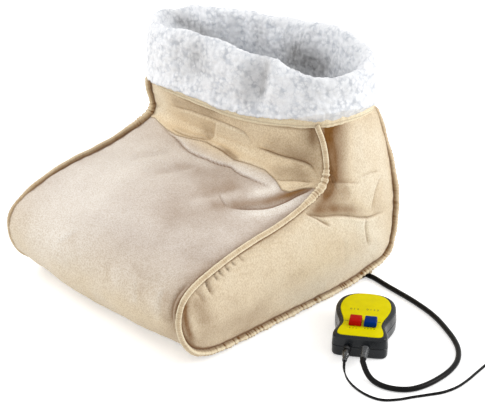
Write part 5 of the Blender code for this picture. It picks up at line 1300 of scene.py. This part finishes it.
def rounded_slab(name, node, centre, size, corner, material, seed, pile=0.0, step=0.0024, edge=0.002):
    """A flat pad with rounded corners and edges; with a pile its top is fleece."""
    half = np.array(size[:2]) / 2
    core = half - corner
    counts = [int(length / step) for length in size[:2]]
    square = np.stack(np.meshgrid(*(np.linspace(-1, 1, count) for count in counts), indexing="ij"), axis=-1) * half
    over = np.maximum(np.abs(square) - core, 0)
    in_corner = (over > 0).all(axis=-1)
    shrink = np.where(in_corner, over.max(axis=-1) / np.maximum(np.linalg.norm(over, axis=-1), 1e-12), 1.0)
    flat = np.sign(square) * np.where(over > 0, core + over * shrink[..., None], np.abs(square))
    away = (half - np.abs(square)).min(axis=-1)
    high = centre[2] + size[2] / 2 - edge * bell(away, edge)
    top = np.concatenate([flat + centre[:2], high[..., None]], axis=-1)
    gap_shade = np.zeros(away.shape)
    if pile:
        push, gap_shade = (values.reshape(away.shape) for values in tufted(top.reshape(-1, 3), TUFT_SIZE, seed, pile))
        top[..., 2] += push
    low = centre[2] - size[2] / 2
    skirt = skirted(top, np.zeros(3))
    for part in (skirt[0], skirt[-1], skirt[:, 0], skirt[:, -1]):
        part[:, 2] = low
    rows, columns = skirt.shape[:2]
    index = np.arange(rows * columns).reshape(rows, columns)
    rim = [*index[0], *index[1:, -1], *index[-1, -2::-1], *index[-2:0:-1, 0]]
    points = np.concatenate([skirt.reshape(-1, 3), [(centre[0], centre[1], low)]])
    faces = grid_faces(rows, columns) + [[index.size, a, b] for a, b in zip(rim, rim[1:] + rim[:1])]
    # The gaps between the fleece's tufts are painted as shade
    piece = mesh_piece(name, points, faces, material, fold=np.append(spread(gap_shade) * 0.5, 0.0))
    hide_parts(node)


rounded_slab("sole_cloth", "sole_panel", SOLE_PLACE, SOLE_SIZE, 0.014, "sole", 51.0, edge=0.0008)
rounded_slab("insole_fleece", "insole", INSOLE_PLACE, INSOLE_SIZE, 0.030, "fleece", 52.0, pile=0.0016)


# Controller

CONTROLLER_X = 0.2203
CONTROLLER_Y = 0.0074
CONTROLLER_TURN = 0.6153
CONTROLLER_HALF_LENGTH = 0.0471
CONTROLLER_HALF_WIDTH = 0.0322
CONTROLLER_HEIGHT = 0.0243
PORT_HEIGHT = 0.0115
RELIEF_X = 0.0065
RELIEF_LENGTH = 0.0190
JACK_X = -0.0115
GRIP_LENGTH = 0.0250
CONTROLLER = Matrix.Translation((CONTROLLER_X, CONTROLLER_Y, 0)) @ Matrix.Rotation(CONTROLLER_TURN, 4, "Z")
PORT_AXIS = Matrix.Rotation(math.pi / 2, 4, "X")
CONTROLLER_WALL = 0.0020
PARTING_HEIGHT = 0.0120
SHELL_TAPER = 0.0007
PLATE_HALF_LENGTH = 0.0436
PLATE_HALF_WIDTH = 0.0264
PLATE_THICKNESS = 0.0016
PLATE_PROUD = 0.0006
PLATE_TOP = CONTROLLER_HEIGHT + PLATE_PROUD
PLATE_BOTTOM = PLATE_TOP - PLATE_THICKNESS
CEILING = PLATE_BOTTOM - PIECE_GAP - CONTROLLER_WALL
SHELL_ROUNDING = 0.0030
PARTING_CHAMFER = 0.0004
PLATE_ROUNDING = 0.0007
KNOB_SIZE = (0.0132, 0.0147, 0.0058)
KNOB_SPACING = 0.0155
KNOB_SHIFT_X = 0.0007
KNOB_CENTRE_Y = -0.0191
KNOB_TRAVEL = 0.0030
STEM_SIZE = (0.0040, 0.0050)
STEM_LOW = 0.0143
RELIEF_ROOT_RADIUS = 0.0044
RELIEF_TIP_RADIUS = 0.0034
RELIEF_RIBS = 6
RIB_DEPTH = 0.0008
RELIEF_START = 0.0006
CORE_RADIUS = 0.0005
# share of a rib's pitch, and share of its depth
RIB_SHAPE = (
    (0.04, 1.0), (0.20, 1.0), (0.26, 0.45), (0.34, 0.1), (0.48, 0.0), (0.62, 0.06), (0.76, 0.25), (0.90, 0.62),
)
# the plug's grip: radius, and height from the controller's face
GRIP_PROFILE = (
    (CORE_RADIUS, PIECE_GAP), (0.0036, PIECE_GAP), (0.0040, 0.0008), (0.0042, 0.0022), (0.0042, 0.0060),
    (0.0040, 0.0064), (0.0040, 0.0070), (0.0042, 0.0074), (0.0041, 0.0110), (0.0040, 0.0140), (0.0037, 0.0155),
    (0.0031, 0.0164), (0.0028, 0.0172), (0.0027, 0.0188), (0.0024, 0.0191), (0.0024, 0.0198), (0.0027, 0.0201),
    (0.0026, 0.0218), (0.0023, 0.0221), (0.0023, 0.0228), (0.0026, 0.0231), (0.0025, GRIP_LENGTH - 0.0004),
    (0.0021, GRIP_LENGTH), (CORE_RADIUS, GRIP_LENGTH),
)

# half outline from the middle of the cable end to the middle of the far end: shares of the half width and half length
HOUSING_SHARES = (
    (0.00, -1.00), (0.46, -1.00), (0.72, -0.985), (0.85, -0.93), (0.895, -0.82), (0.87, -0.68), (0.80, -0.52),
    (0.775, -0.37), (0.83, -0.18), (0.93, 0.04), (0.995, 0.26), (0.985, 0.48), (0.89, 0.70), (0.69, 0.87),
    (0.38, 0.97), (0.00, 1.00),
)
PLATE_SHARES = (
    (0.00, -1.00), (0.52, -1.00), (0.77, -0.985), (0.875, -0.92), (0.885, -0.81), (0.84, -0.67), (0.765, -0.52),
    (0.745, -0.38), (0.80, -0.20), (0.91, 0.02), (0.99, 0.25), (0.985, 0.47), (0.89, 0.69), (0.69, 0.865),
    (0.38, 0.97), (0.00, 1.00),
)
MARK_PROUD = 0.00006
NUMBER_SIZE = 0.0046
# text, then X and Y on the controller
PLATE_NUMBERS = (("0 1 2", -0.0112, 0.0070), ("0 1 2 3", 0.0076, 0.0082))
# X, Y, width and length on the controller
PLATE_STROKES = (
    (-0.0168, -0.0160, 0.0038, 0.0007), (0.0168, -0.0140, 0.0034, 0.0007),
    (-0.0116, -0.0296, 0.0008, 0.0018), (-0.0084, -0.0296, 0.0008, 0.0018), (-0.0052, -0.0296, 0.0008, 0.0018),
    (0.0036, -0.0284, 0.0008, 0.0018), (0.0068, -0.0284, 0.0008, 0.0018), (0.0100, -0.0284, 0.0008, 0.0018),
    (0.0132, -0.0284, 0.0008, 0.0018),
)


def whole_outline(shares, half_wide, half_long, steps=8):
    half = np.array(shares) * (half_wide, half_long)
    right = catmull(half, np.linspace(0, len(half) - 1, steps * (len(half) - 1) + 1))[0]
    return np.concatenate([right, right[-2:0:-1] * (-1, 1)])


def moved(points, matrix):
    return [matrix @ Vector(p) for p in points]


def levels_of(outline, levels):
    """Points and faces of a solid on the controller, its outline drawn in by the inset given at each height."""
    outward = loop_ways_out(outline)
    rings = [np.column_stack([outline - outward * inset, np.full(len(outline), height)]) for height, inset in levels]
    return moved(np.concatenate(rings), CONTROLLER), tube_faces(len(levels), len(outline))


def outline_solid(outline, low, high, inset):
    data = bpy.data.meshes.new("hollow")
    fill_mesh(data, *levels_of(outline, ((low, inset), (high, inset))))
    return reworked(data, faced_out)


def boxed(size, centre, matrix, taper=1.0, bevel=0.0):
    """A box as a mesh in its place, which may be narrower at its top and rounded at its edges."""
    build = bmesh.new()
    bmesh.ops.create_cube(build, size=1.0)
    bmesh.ops.scale(build, vec=Vector(size), verts=build.verts)
    for vert in build.verts:
        if vert.co.z > 0:
            vert.co.xy *= taper
    if bevel:
        bmesh.ops.bevel(build, geom=build.edges[:], offset=bevel, segments=4, affect="EDGES", profile=0.5)
    bmesh.ops.translate(build, vec=Vector(centre), verts=build.verts)
    build.transform(matrix)
    data = bpy.data.meshes.new("box")
    build.to_mesh(data)
    build.free()
    return data


def shown_mesh(piece):
    """What a piece looks like with its modifiers, as a mesh of its own."""
    bpy.context.view_layer.update()
    return bpy.data.meshes.new_from_object(piece.evaluated_get(bpy.context.evaluated_depsgraph_get()))


def combined(piece, parts, operation="DIFFERENCE"):
    """Cuts meshes out of a piece, or adds them to it, and keeps the result as its mesh."""
    helpers = [placed("helper", part) for part in parts]
    for helper in helpers:
        modifier = piece.modifiers.new("cut", "BOOLEAN")
        modifier.operation = operation
        modifier.solver = "EXACT"
        modifier.object = helper
    made = shown_mesh(piece)
    piece.modifiers.clear()
    piece.data = made
    for helper in helpers:
        bpy.data.objects.remove(helper)


def sharpened(piece, angle=0.6):
    """Smooth shading, but for edges sharper than an angle."""

    def mark_edges(build):
        for edge in build.edges:
            edge.smooth = len(edge.link_faces) == 2 and edge.calc_face_angle(0) < angle

    smoothed(reworked(piece.data, mark_edges))


def arc(height, inset, radius_up, radius_in, start, end, steps):
    """Height and inset pairs along a round."""
    turns = np.linspace(start, end, steps)
    return [(height + radius_up * math.sin(turn), inset - radius_in * math.cos(turn)) for turn in turns]


def controller():
    outline = whole_outline(HOUSING_SHARES, CONTROLLER_HALF_WIDTH, CONTROLLER_HALF_LENGTH)
    plate_outline = whole_outline(PLATE_SHARES, PLATE_HALF_WIDTH, PLATE_HALF_LENGTH)
    wall = CONTROLLER_WALL + SHELL_TAPER
    low = PARTING_HEIGHT + PIECE_GAP
    soft, chamfer, quarter = SHELL_ROUNDING, PARTING_CHAMFER, math.pi / 2
    levels = {
        "shell_bottom": [(0.0, soft), *arc(soft, soft, soft, 0.0028, -quarter * 0.8, 0, 6),
                         (PARTING_HEIGHT - chamfer, 0.0), (PARTING_HEIGHT, chamfer)],
        "shell_top": [(low, chamfer), (low + chamfer, 0.0), (low + 0.004, SHELL_TAPER * 0.4),
                      *arc(CONTROLLER_HEIGHT - soft, SHELL_TAPER + soft, soft, soft, 0, quarter, 8)],
    }
    bottom, top = (mesh_piece("controller_" + word, *levels_of(outline, levels[word]), "black_plastic")
                   for word in ("shell_bottom", "shell_top"))
    edge = arc(PLATE_TOP - PLATE_ROUNDING, PLATE_ROUNDING, PLATE_ROUNDING, PLATE_ROUNDING, 0, quarter, 5)
    plate = mesh_piece("yellow_plate", *levels_of(plate_outline, [(PLATE_BOTTOM, 0.0), *edge]), "yellow_plate")
    slot = (STEM_SIZE[0] + 2 * PIECE_GAP, STEM_SIZE[1] + 2 * KNOB_TRAVEL + 2 * PIECE_GAP, 0.02)
    middles = [(KNOB_SHIFT_X + sign * KNOB_SPACING / 2, KNOB_CENTRE_Y, CONTROLLER_HEIGHT) for sign in (-1, 1)]
    combined(bottom, [outline_solid(outline, CONTROLLER_WALL, PARTING_HEIGHT + 0.002, wall)])
    combined(top, [
        outline_solid(plate_outline, PLATE_BOTTOM - PIECE_GAP, CONTROLLER_HEIGHT + 0.004, -PIECE_GAP),
        outline_solid(outline, low - 0.002, CEILING, wall),
        *[boxed(slot, middle, CONTROLLER) for middle in middles],
    ])
    combined(plate, [boxed(slot, middle, CONTROLLER) for middle in middles])
    for piece, node in ((bottom, "housing_bottom"), (top, "housing_top"), (plate, "faceplate")):
        sharpened(piece)
        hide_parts("controller_" + node)


def knob(word, sign):
    """A slide switch's cap, softly rounded, on its stem."""
    low = PLATE_TOP + PIECE_GAP
    stem_high = low + 0.002
    here = CONTROLLER @ Matrix.Translation((KNOB_SHIFT_X + sign * KNOB_SPACING / 2, KNOB_CENTRE_Y, 0))
    data = boxed(KNOB_SIZE, (0, 0, low + KNOB_SIZE[2] / 2), here, taper=0.93, bevel=0.0011)
    data.materials.append(FINISHES[word + "_knob"])
    piece = placed(word + "_knob_cap", data, word + "_knob")
    combined(piece, [boxed((*STEM_SIZE, stem_high - STEM_LOW), (0, 0, (STEM_LOW + stem_high) / 2), here)], "UNION")
    sharpened(piece)
    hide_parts(word + "_switch_knob")


def turned(name, node, profile, matrix, material, body, steps=40, depths=None):
    """A turned piece: profile is (radius, height) pairs from the axis at one end to the axis at the other, and depths
    say how much painted groove shade each pair takes."""
    turn = np.linspace(0, 2 * math.pi, steps, endpoint=False)
    rings = [np.column_stack([radius * np.cos(turn), radius * np.sin(turn), np.full(steps, height)])
             for radius, height in profile]
    fold = None if depths is None else np.repeat(depths, steps)
    piece = mesh_piece(name, moved(np.concatenate(rings), matrix), tube_faces(len(profile), steps), material, "cable",
                       body, fold=fold)
    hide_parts(node)


def at_port(x):
    """The frame of a port in the cable end's face: its Z runs out of the controller."""
    return CONTROLLER @ Matrix.Translation((x, -CONTROLLER_HALF_LENGTH, PORT_HEIGHT)) @ PORT_AXIS


def port_tip(x, reach):
    """The place that far out of a port, and the way out."""
    here = at_port(x)
    return np.array(here @ Vector((0, 0, reach))), np.array(here.to_3x3() @ Vector((0, 0, 1)))


def relief():
    """The ribbed strain relief, each rib a little thinner than the last."""
    root, tip = RELIEF_ROOT_RADIUS, RELIEF_TIP_RADIUS
    # The third number of each row is how much painted groove shade it takes
    rows = [(CORE_RADIUS, -0.002, 1.0), (root, -0.002, 1.0), (root, RELIEF_START, 0.6)]
    pitch = (RELIEF_LENGTH - 0.002) / RELIEF_RIBS
    for k in range(RELIEF_RIBS):
        radius = root + (tip - root) * (k + 0.5) / RELIEF_RIBS
        start = RELIEF_START + k * pitch
        rows += [(radius - RIB_DEPTH * drop, start + pitch * share, min(1.0, 0.35 + 1.6 * drop))
                 for share, drop in RIB_SHAPE]
    rows += [(tip, RELIEF_LENGTH - 0.001, 0.8), (tip - 0.0004, RELIEF_LENGTH, 1.0), (CORE_RADIUS, RELIEF_LENGTH, 1.0)]
    rows = np.array(rows)
    turned("ribbed_relief", "cable_strain_relief", rows[:, :2], at_port(RELIEF_X), "ribs", BODY, depths=rows[:, 2])


def number_mesh(text, x, y):
    curve = bpy.data.curves.new("numbers", "FONT")
    curve.body = text
    curve.size = NUMBER_SIZE
    curve.align_x = "CENTER"
    helper = placed("numbers", curve)
    data = shown_mesh(helper)
    data.transform(CONTROLLER @ Matrix.Translation((x, y, PLATE_TOP + MARK_PROUD)))
    bpy.data.objects.remove(helper)
    return data


def plate_marks():
    """Plain numbers over the knobs, and strokes beside and below them, printed on the plate."""
    parts = [number_mesh(*row) for row in PLATE_NUMBERS]
    parts += [boxed((wide, long, MARK_PROUD), (x, y, PLATE_TOP + MARK_PROUD / 2), CONTROLLER)
              for x, y, wide, long in PLATE_STROKES]
    build = bmesh.new()
    for data in parts:
        build.from_mesh(data)
    data = bpy.data.meshes.new("plate_marks")
    build.to_mesh(data)
    build.free()
    data.materials.append(FINISHES["print"])
    placed("plate_marks", data, BODY)


controller()
knob("red", -1)
knob("blue", 1)
relief()
turned("plug_grip", "dc_plug_grip", GRIP_PROFILE, at_port(JACK_X), "relief", "adaptor")
plate_marks()


# Cords

CABLE_RADIUS = 0.0029
LEAD_RADIUS = 0.0015
CORD_ROOT_X = SOLE_SIZE[0] / 2
ADAPTOR_X = 0.3680
ADAPTOR_Y = 0.2180
ADAPTOR_SIZE = (0.042, 0.066, 0.028)
ADAPTOR_RELIEF_LENGTH = 0.0220
COIL_X = 0.3680
COIL_Y = 0.1060
COIL_OUTER_RADIUS = 0.0245
COIL_TURN_PITCH = 0.0039
COIL_LAYER_PITCH = 0.0035
COIL_LAYERS = 4
COIL_TURNS_A_LAYER = 2.25
COIL_POINTS_A_TURN = 24
TIE_THICKNESS = 0.0010
FLEX_HALF_THICKNESS = 0.0009
# how far along the flex it turns over, over how far either way, and by how much
FLEX_TWISTS = ((0.012, 0.012, 0.5 * math.pi), (0.135, 0.030, 0.5 * math.pi))
CABLE_ROUTE = (
    (0.1530, 0.1025, 0.0030), (0.1727, 0.0995, 0.0030), (0.1938, 0.0972, 0.0030), (0.2145, 0.0945, 0.0030),
    (0.2368, 0.0900, 0.0030), (0.2563, 0.0838, 0.0030), (0.2772, 0.0739, 0.0030), (0.2962, 0.0630, 0.0030),
    (0.3113, 0.0507, 0.0030), (0.3227, 0.0351, 0.0030), (0.3288, 0.0180, 0.0030), (0.3310, -0.0010, 0.0030),
    (0.3298, -0.0220, 0.0030), (0.3244, -0.0388, 0.0030), (0.3144, -0.0494, 0.0030), (0.3013, -0.0550, 0.0030),
    (0.2885, -0.0556, 0.0038), (0.2775, -0.0525, 0.0066),
)
LEAD_ROUTE = (
    (0.2605, -0.0670, 0.0075), (0.2700, -0.0720, 0.0032), (0.2847, -0.0757, 0.0016), (0.3013, -0.0768, 0.0016),
    (0.3152, -0.0727, 0.0016), (0.3256, -0.0612, 0.0016), (0.3333, -0.0468, 0.0016), (0.3410, -0.0332, 0.0016),
    (0.3483, -0.0193, 0.0016), (0.3520, -0.0033, 0.0016), (0.3517, 0.0140, 0.0016), (0.3493, 0.0324, 0.0016),
    (0.3466, 0.0530, 0.0017), (0.3446, 0.0720, 0.0022), (0.3437, 0.0840, 0.0026),
)
TAIL_ROUTE = (
    (0.3448, 0.1260, 0.0110), (0.3475, 0.1360, 0.0080), (0.3515, 0.1440, 0.0078), (0.3570, 0.1500, 0.0105),
    (0.3630, 0.1560, 0.0130),
)


def cord_points(start, start_way, places, end, end_way, radius, step):
    """Places along a cord that leaves both its tips straight, along their ways, and follows the chosen places."""
    first = np.array(start) + np.array(start_way) * 2 * radius
    last = np.array(end) + np.array(end_way) * 2 * radius
    return np.concatenate([[start], smooth_route([first, *places, last], step), [end]])


def coil_points():
    """The wound part of the lead: it spirals in and out by turns, and climbs a layer where it reverses."""
    turns = COIL_LAYERS * COIL_TURNS_A_LAYER
    turn = np.linspace(0, turns, round(turns * COIL_POINTS_A_TURN) + 1)
    along = turn / COIL_TURNS_A_LAYER
    layer = np.minimum(along.astype(int), COIL_LAYERS - 1)
    inward = np.where(layer % 2 == 0, along - layer, 1 - along + layer)
    radius = COIL_OUTER_RADIUS - COIL_TURN_PITCH * COIL_TURNS_A_LAYER * inward
    nearest = np.round(along)
    climb = nearest - 1 + eased((along - nearest) * COIL_TURNS_A_LAYER * 2 + 0.5)
    level = np.where((nearest > 0) & (nearest < COIL_LAYERS), climb, layer)
    angle = math.pi - 2 * math.pi * turn
    height = TIE_THICKNESS + 2 * PIECE_GAP + LEAD_RADIUS + COIL_LAYER_PITCH * level
    points = np.column_stack([COIL_X + radius * np.cos(angle), COIL_Y + radius * np.sin(angle), height])
    straight = np.array((0, 2 * LEAD_RADIUS, 0))
    return np.concatenate([[points[0] - straight], points, [points[-1] + straight]])


def control_cable():
    tip, way = port_tip(RELIEF_X, RELIEF_LENGTH)
    root = (CORD_ROOT_X, CABLE_ROUTE[0][1], CABLE_ROUTE[0][2])
    points = cord_points(root, (1, 0, 0), CABLE_ROUTE, tip - way * 0.002, way, CABLE_RADIUS, 0.0035)
    data = bpy.data.curves.new("control_cord", "CURVE")
    data.dimensions = "3D"
    data.bevel_depth = CABLE_RADIUS
    data.bevel_resolution = 6
    data.use_fill_caps = True
    spline = data.splines.new("POLY")
    spline.points.add(len(points) - 1)
    for point, place in zip(spline.points, points):
        point.co = (*place, 1.0)
    spline.use_smooth = True
    data.materials.append(FINISHES["cable"])
    cable = placed("control_cord", data, BODY)
    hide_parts("control_cable")


def flat_twin(points):
    """Twin flex, two wires side by side, that lies flat but for its twists: rings of places."""
    along = unit(np.gradient(points, axis=0))
    level = unit(np.cross(along, (0.0, 0.0, 1.0)))
    up = np.cross(level, along)
    run = run_of(points)
    angle = sum(turn * eased((run - where + reach) / (2 * reach)) for where, reach, turn in FLEX_TWISTS)[:, None]
    wide = level * np.cos(angle) + up * np.sin(angle)
    thick = up * np.cos(angle) - level * np.sin(angle)
    turn = np.linspace(0, 2 * math.pi, 14, endpoint=False)
    waist = 1 - 0.35 * bell(np.cos(turn), 0.3)
    height = FLEX_HALF_THICKNESS * np.sign(np.sin(turn)) * np.abs(np.sin(turn)) ** 0.8 * waist
    return swept(points, wide, thick, np.column_stack([LEAD_RADIUS * np.cos(turn), height]))


def adaptor_lead():
    """The lead from the plug's grip, over the floor, through its coil and on to the adaptor."""
    tip, way = port_tip(JACK_X, GRIP_LENGTH - 0.001)
    coil = coil_points()
    first = cord_points(tip, way, LEAD_ROUTE, coil[0], (0, -1, 0), LEAD_RADIUS, 0.003)
    end = (ADAPTOR_X, ADAPTOR_Y - ADAPTOR_SIZE[1] / 2 - ADAPTOR_RELIEF_LENGTH + 0.001, ADAPTOR_SIZE[2] / 2)
    tail = cord_points(coil[-1], (0, 1, 0), TAIL_ROUTE, end, (0, -1, 0), LEAD_RADIUS, 0.003)
    points = np.concatenate([first[:-1], smooth_route(coil, 0.003), tail[1:]])
    run = run_of(points)
    points = at_lengths(np.linspace(0, run[-1], int(run[-1] / 0.0025)), run, points)
    rings = flat_twin(points)
    lead = mesh_piece("adaptor_flex", rings.reshape(-1, 3), tube_faces(*rings.shape[:2]), "cable", body="adaptor")
    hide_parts("adaptor_lead", "adaptor_lead_coil", "adaptor_lead_tail")


control_cable()
adaptor_lead()


# CAD nodes that stay: better materials

for part in frame["record"]["subparts"]:
    for slot in frame["nodes"][part["node"]].material_slots:
        slot.material = FINISHES[part["material_slot"]]


# Floor and lights

FLOOR_REACH = 8.0
FLOOR_GLOW = 0.45
WORLD_LIGHT = 0.80
# name, place, what it faces, size in metres, power in watts, colour
LAMPS = (
    ("left", (-1.0, -0.5, 1.0), (0.0, 0.0, 0.1), 0.7, 6.5, (1.0, 0.99, 0.98)),
    ("right", (1.3, 0.9, 0.9), (0.0, 0.0, 0.1), 0.8, 11.0, (1.0, 1.0, 1.0)),
)


def seen_rays(tree):
    """1 for the rays that the camera sees by itself, in gloss or through glass."""
    path = tree.nodes.new("ShaderNodeLightPath")
    total = path.outputs["Is Camera Ray"]
    for name in ("Is Glossy Ray", "Is Transmission Ray"):
        either = tree.nodes.new("ShaderNodeMath")
        either.operation = "MAXIMUM"
        tree.links.new(total, either.inputs[0])
        tree.links.new(path.outputs[name], either.inputs[1])
        total = either.outputs[0]
    return total


def white_room():
    """A world that lights softly and looks white."""
    world = bpy.data.worlds.new("studio")
    bpy.context.scene.world = world
    world.use_nodes = True
    tree = world.node_tree
    tree.nodes.clear()
    mix = tree.nodes.new("ShaderNodeMixShader")
    for index, strength in ((1, WORLD_LIGHT), (2, 1.0)):
        light = tree.nodes.new("ShaderNodeBackground")
        light.inputs["Color"].default_value = (1.0, 1.0, 1.0, 1.0)
        light.inputs["Strength"].default_value = strength
        tree.links.new(light.outputs[0], mix.inputs[index])
    tree.links.new(seen_rays(tree), mix.inputs[0])
    tree.links.new(mix.outputs[0], tree.nodes.new("ShaderNodeOutputWorld").inputs[0])


def stage():
    data = bpy.data.meshes.new("floor")
    corners = [(x * FLOOR_REACH, y * FLOOR_REACH, 0) for x, y in ((-1, -1), (1, -1), (1, 1), (-1, 1))]
    data.from_pydata(corners, [], [(0, 1, 2, 3)])
    floor = placed("floor", data)
    nodes = Nodes("floor", Roughness=1.0, Specular_IOR_Level=0.0, Base_Color=(0.9, 0.9, 0.9, 1.0),
                  Emission_Color=(1.0, 1.0, 1.0, 1.0))
    nodes.give("Emission Strength", nodes.sums(seen_rays(nodes.tree), FLOOR_GLOW, "MULTIPLY"))
    data.materials.append(nodes.material)
    white_room()
    bpy.context.scene.view_settings.view_transform = "Standard"
    for name, place, aim, size, watts, colour in LAMPS:
        lamp = bpy.data.lights.new(name, "AREA")
        lamp.shape = "DISK"
        lamp.size = size
        lamp.energy = watts
        lamp.color = colour
        light = placed(name, lamp)
        light.location = place
        light.rotation_euler = (Vector(aim) - Vector(place)).to_track_quat("-Z", "Y").to_euler()


stage()
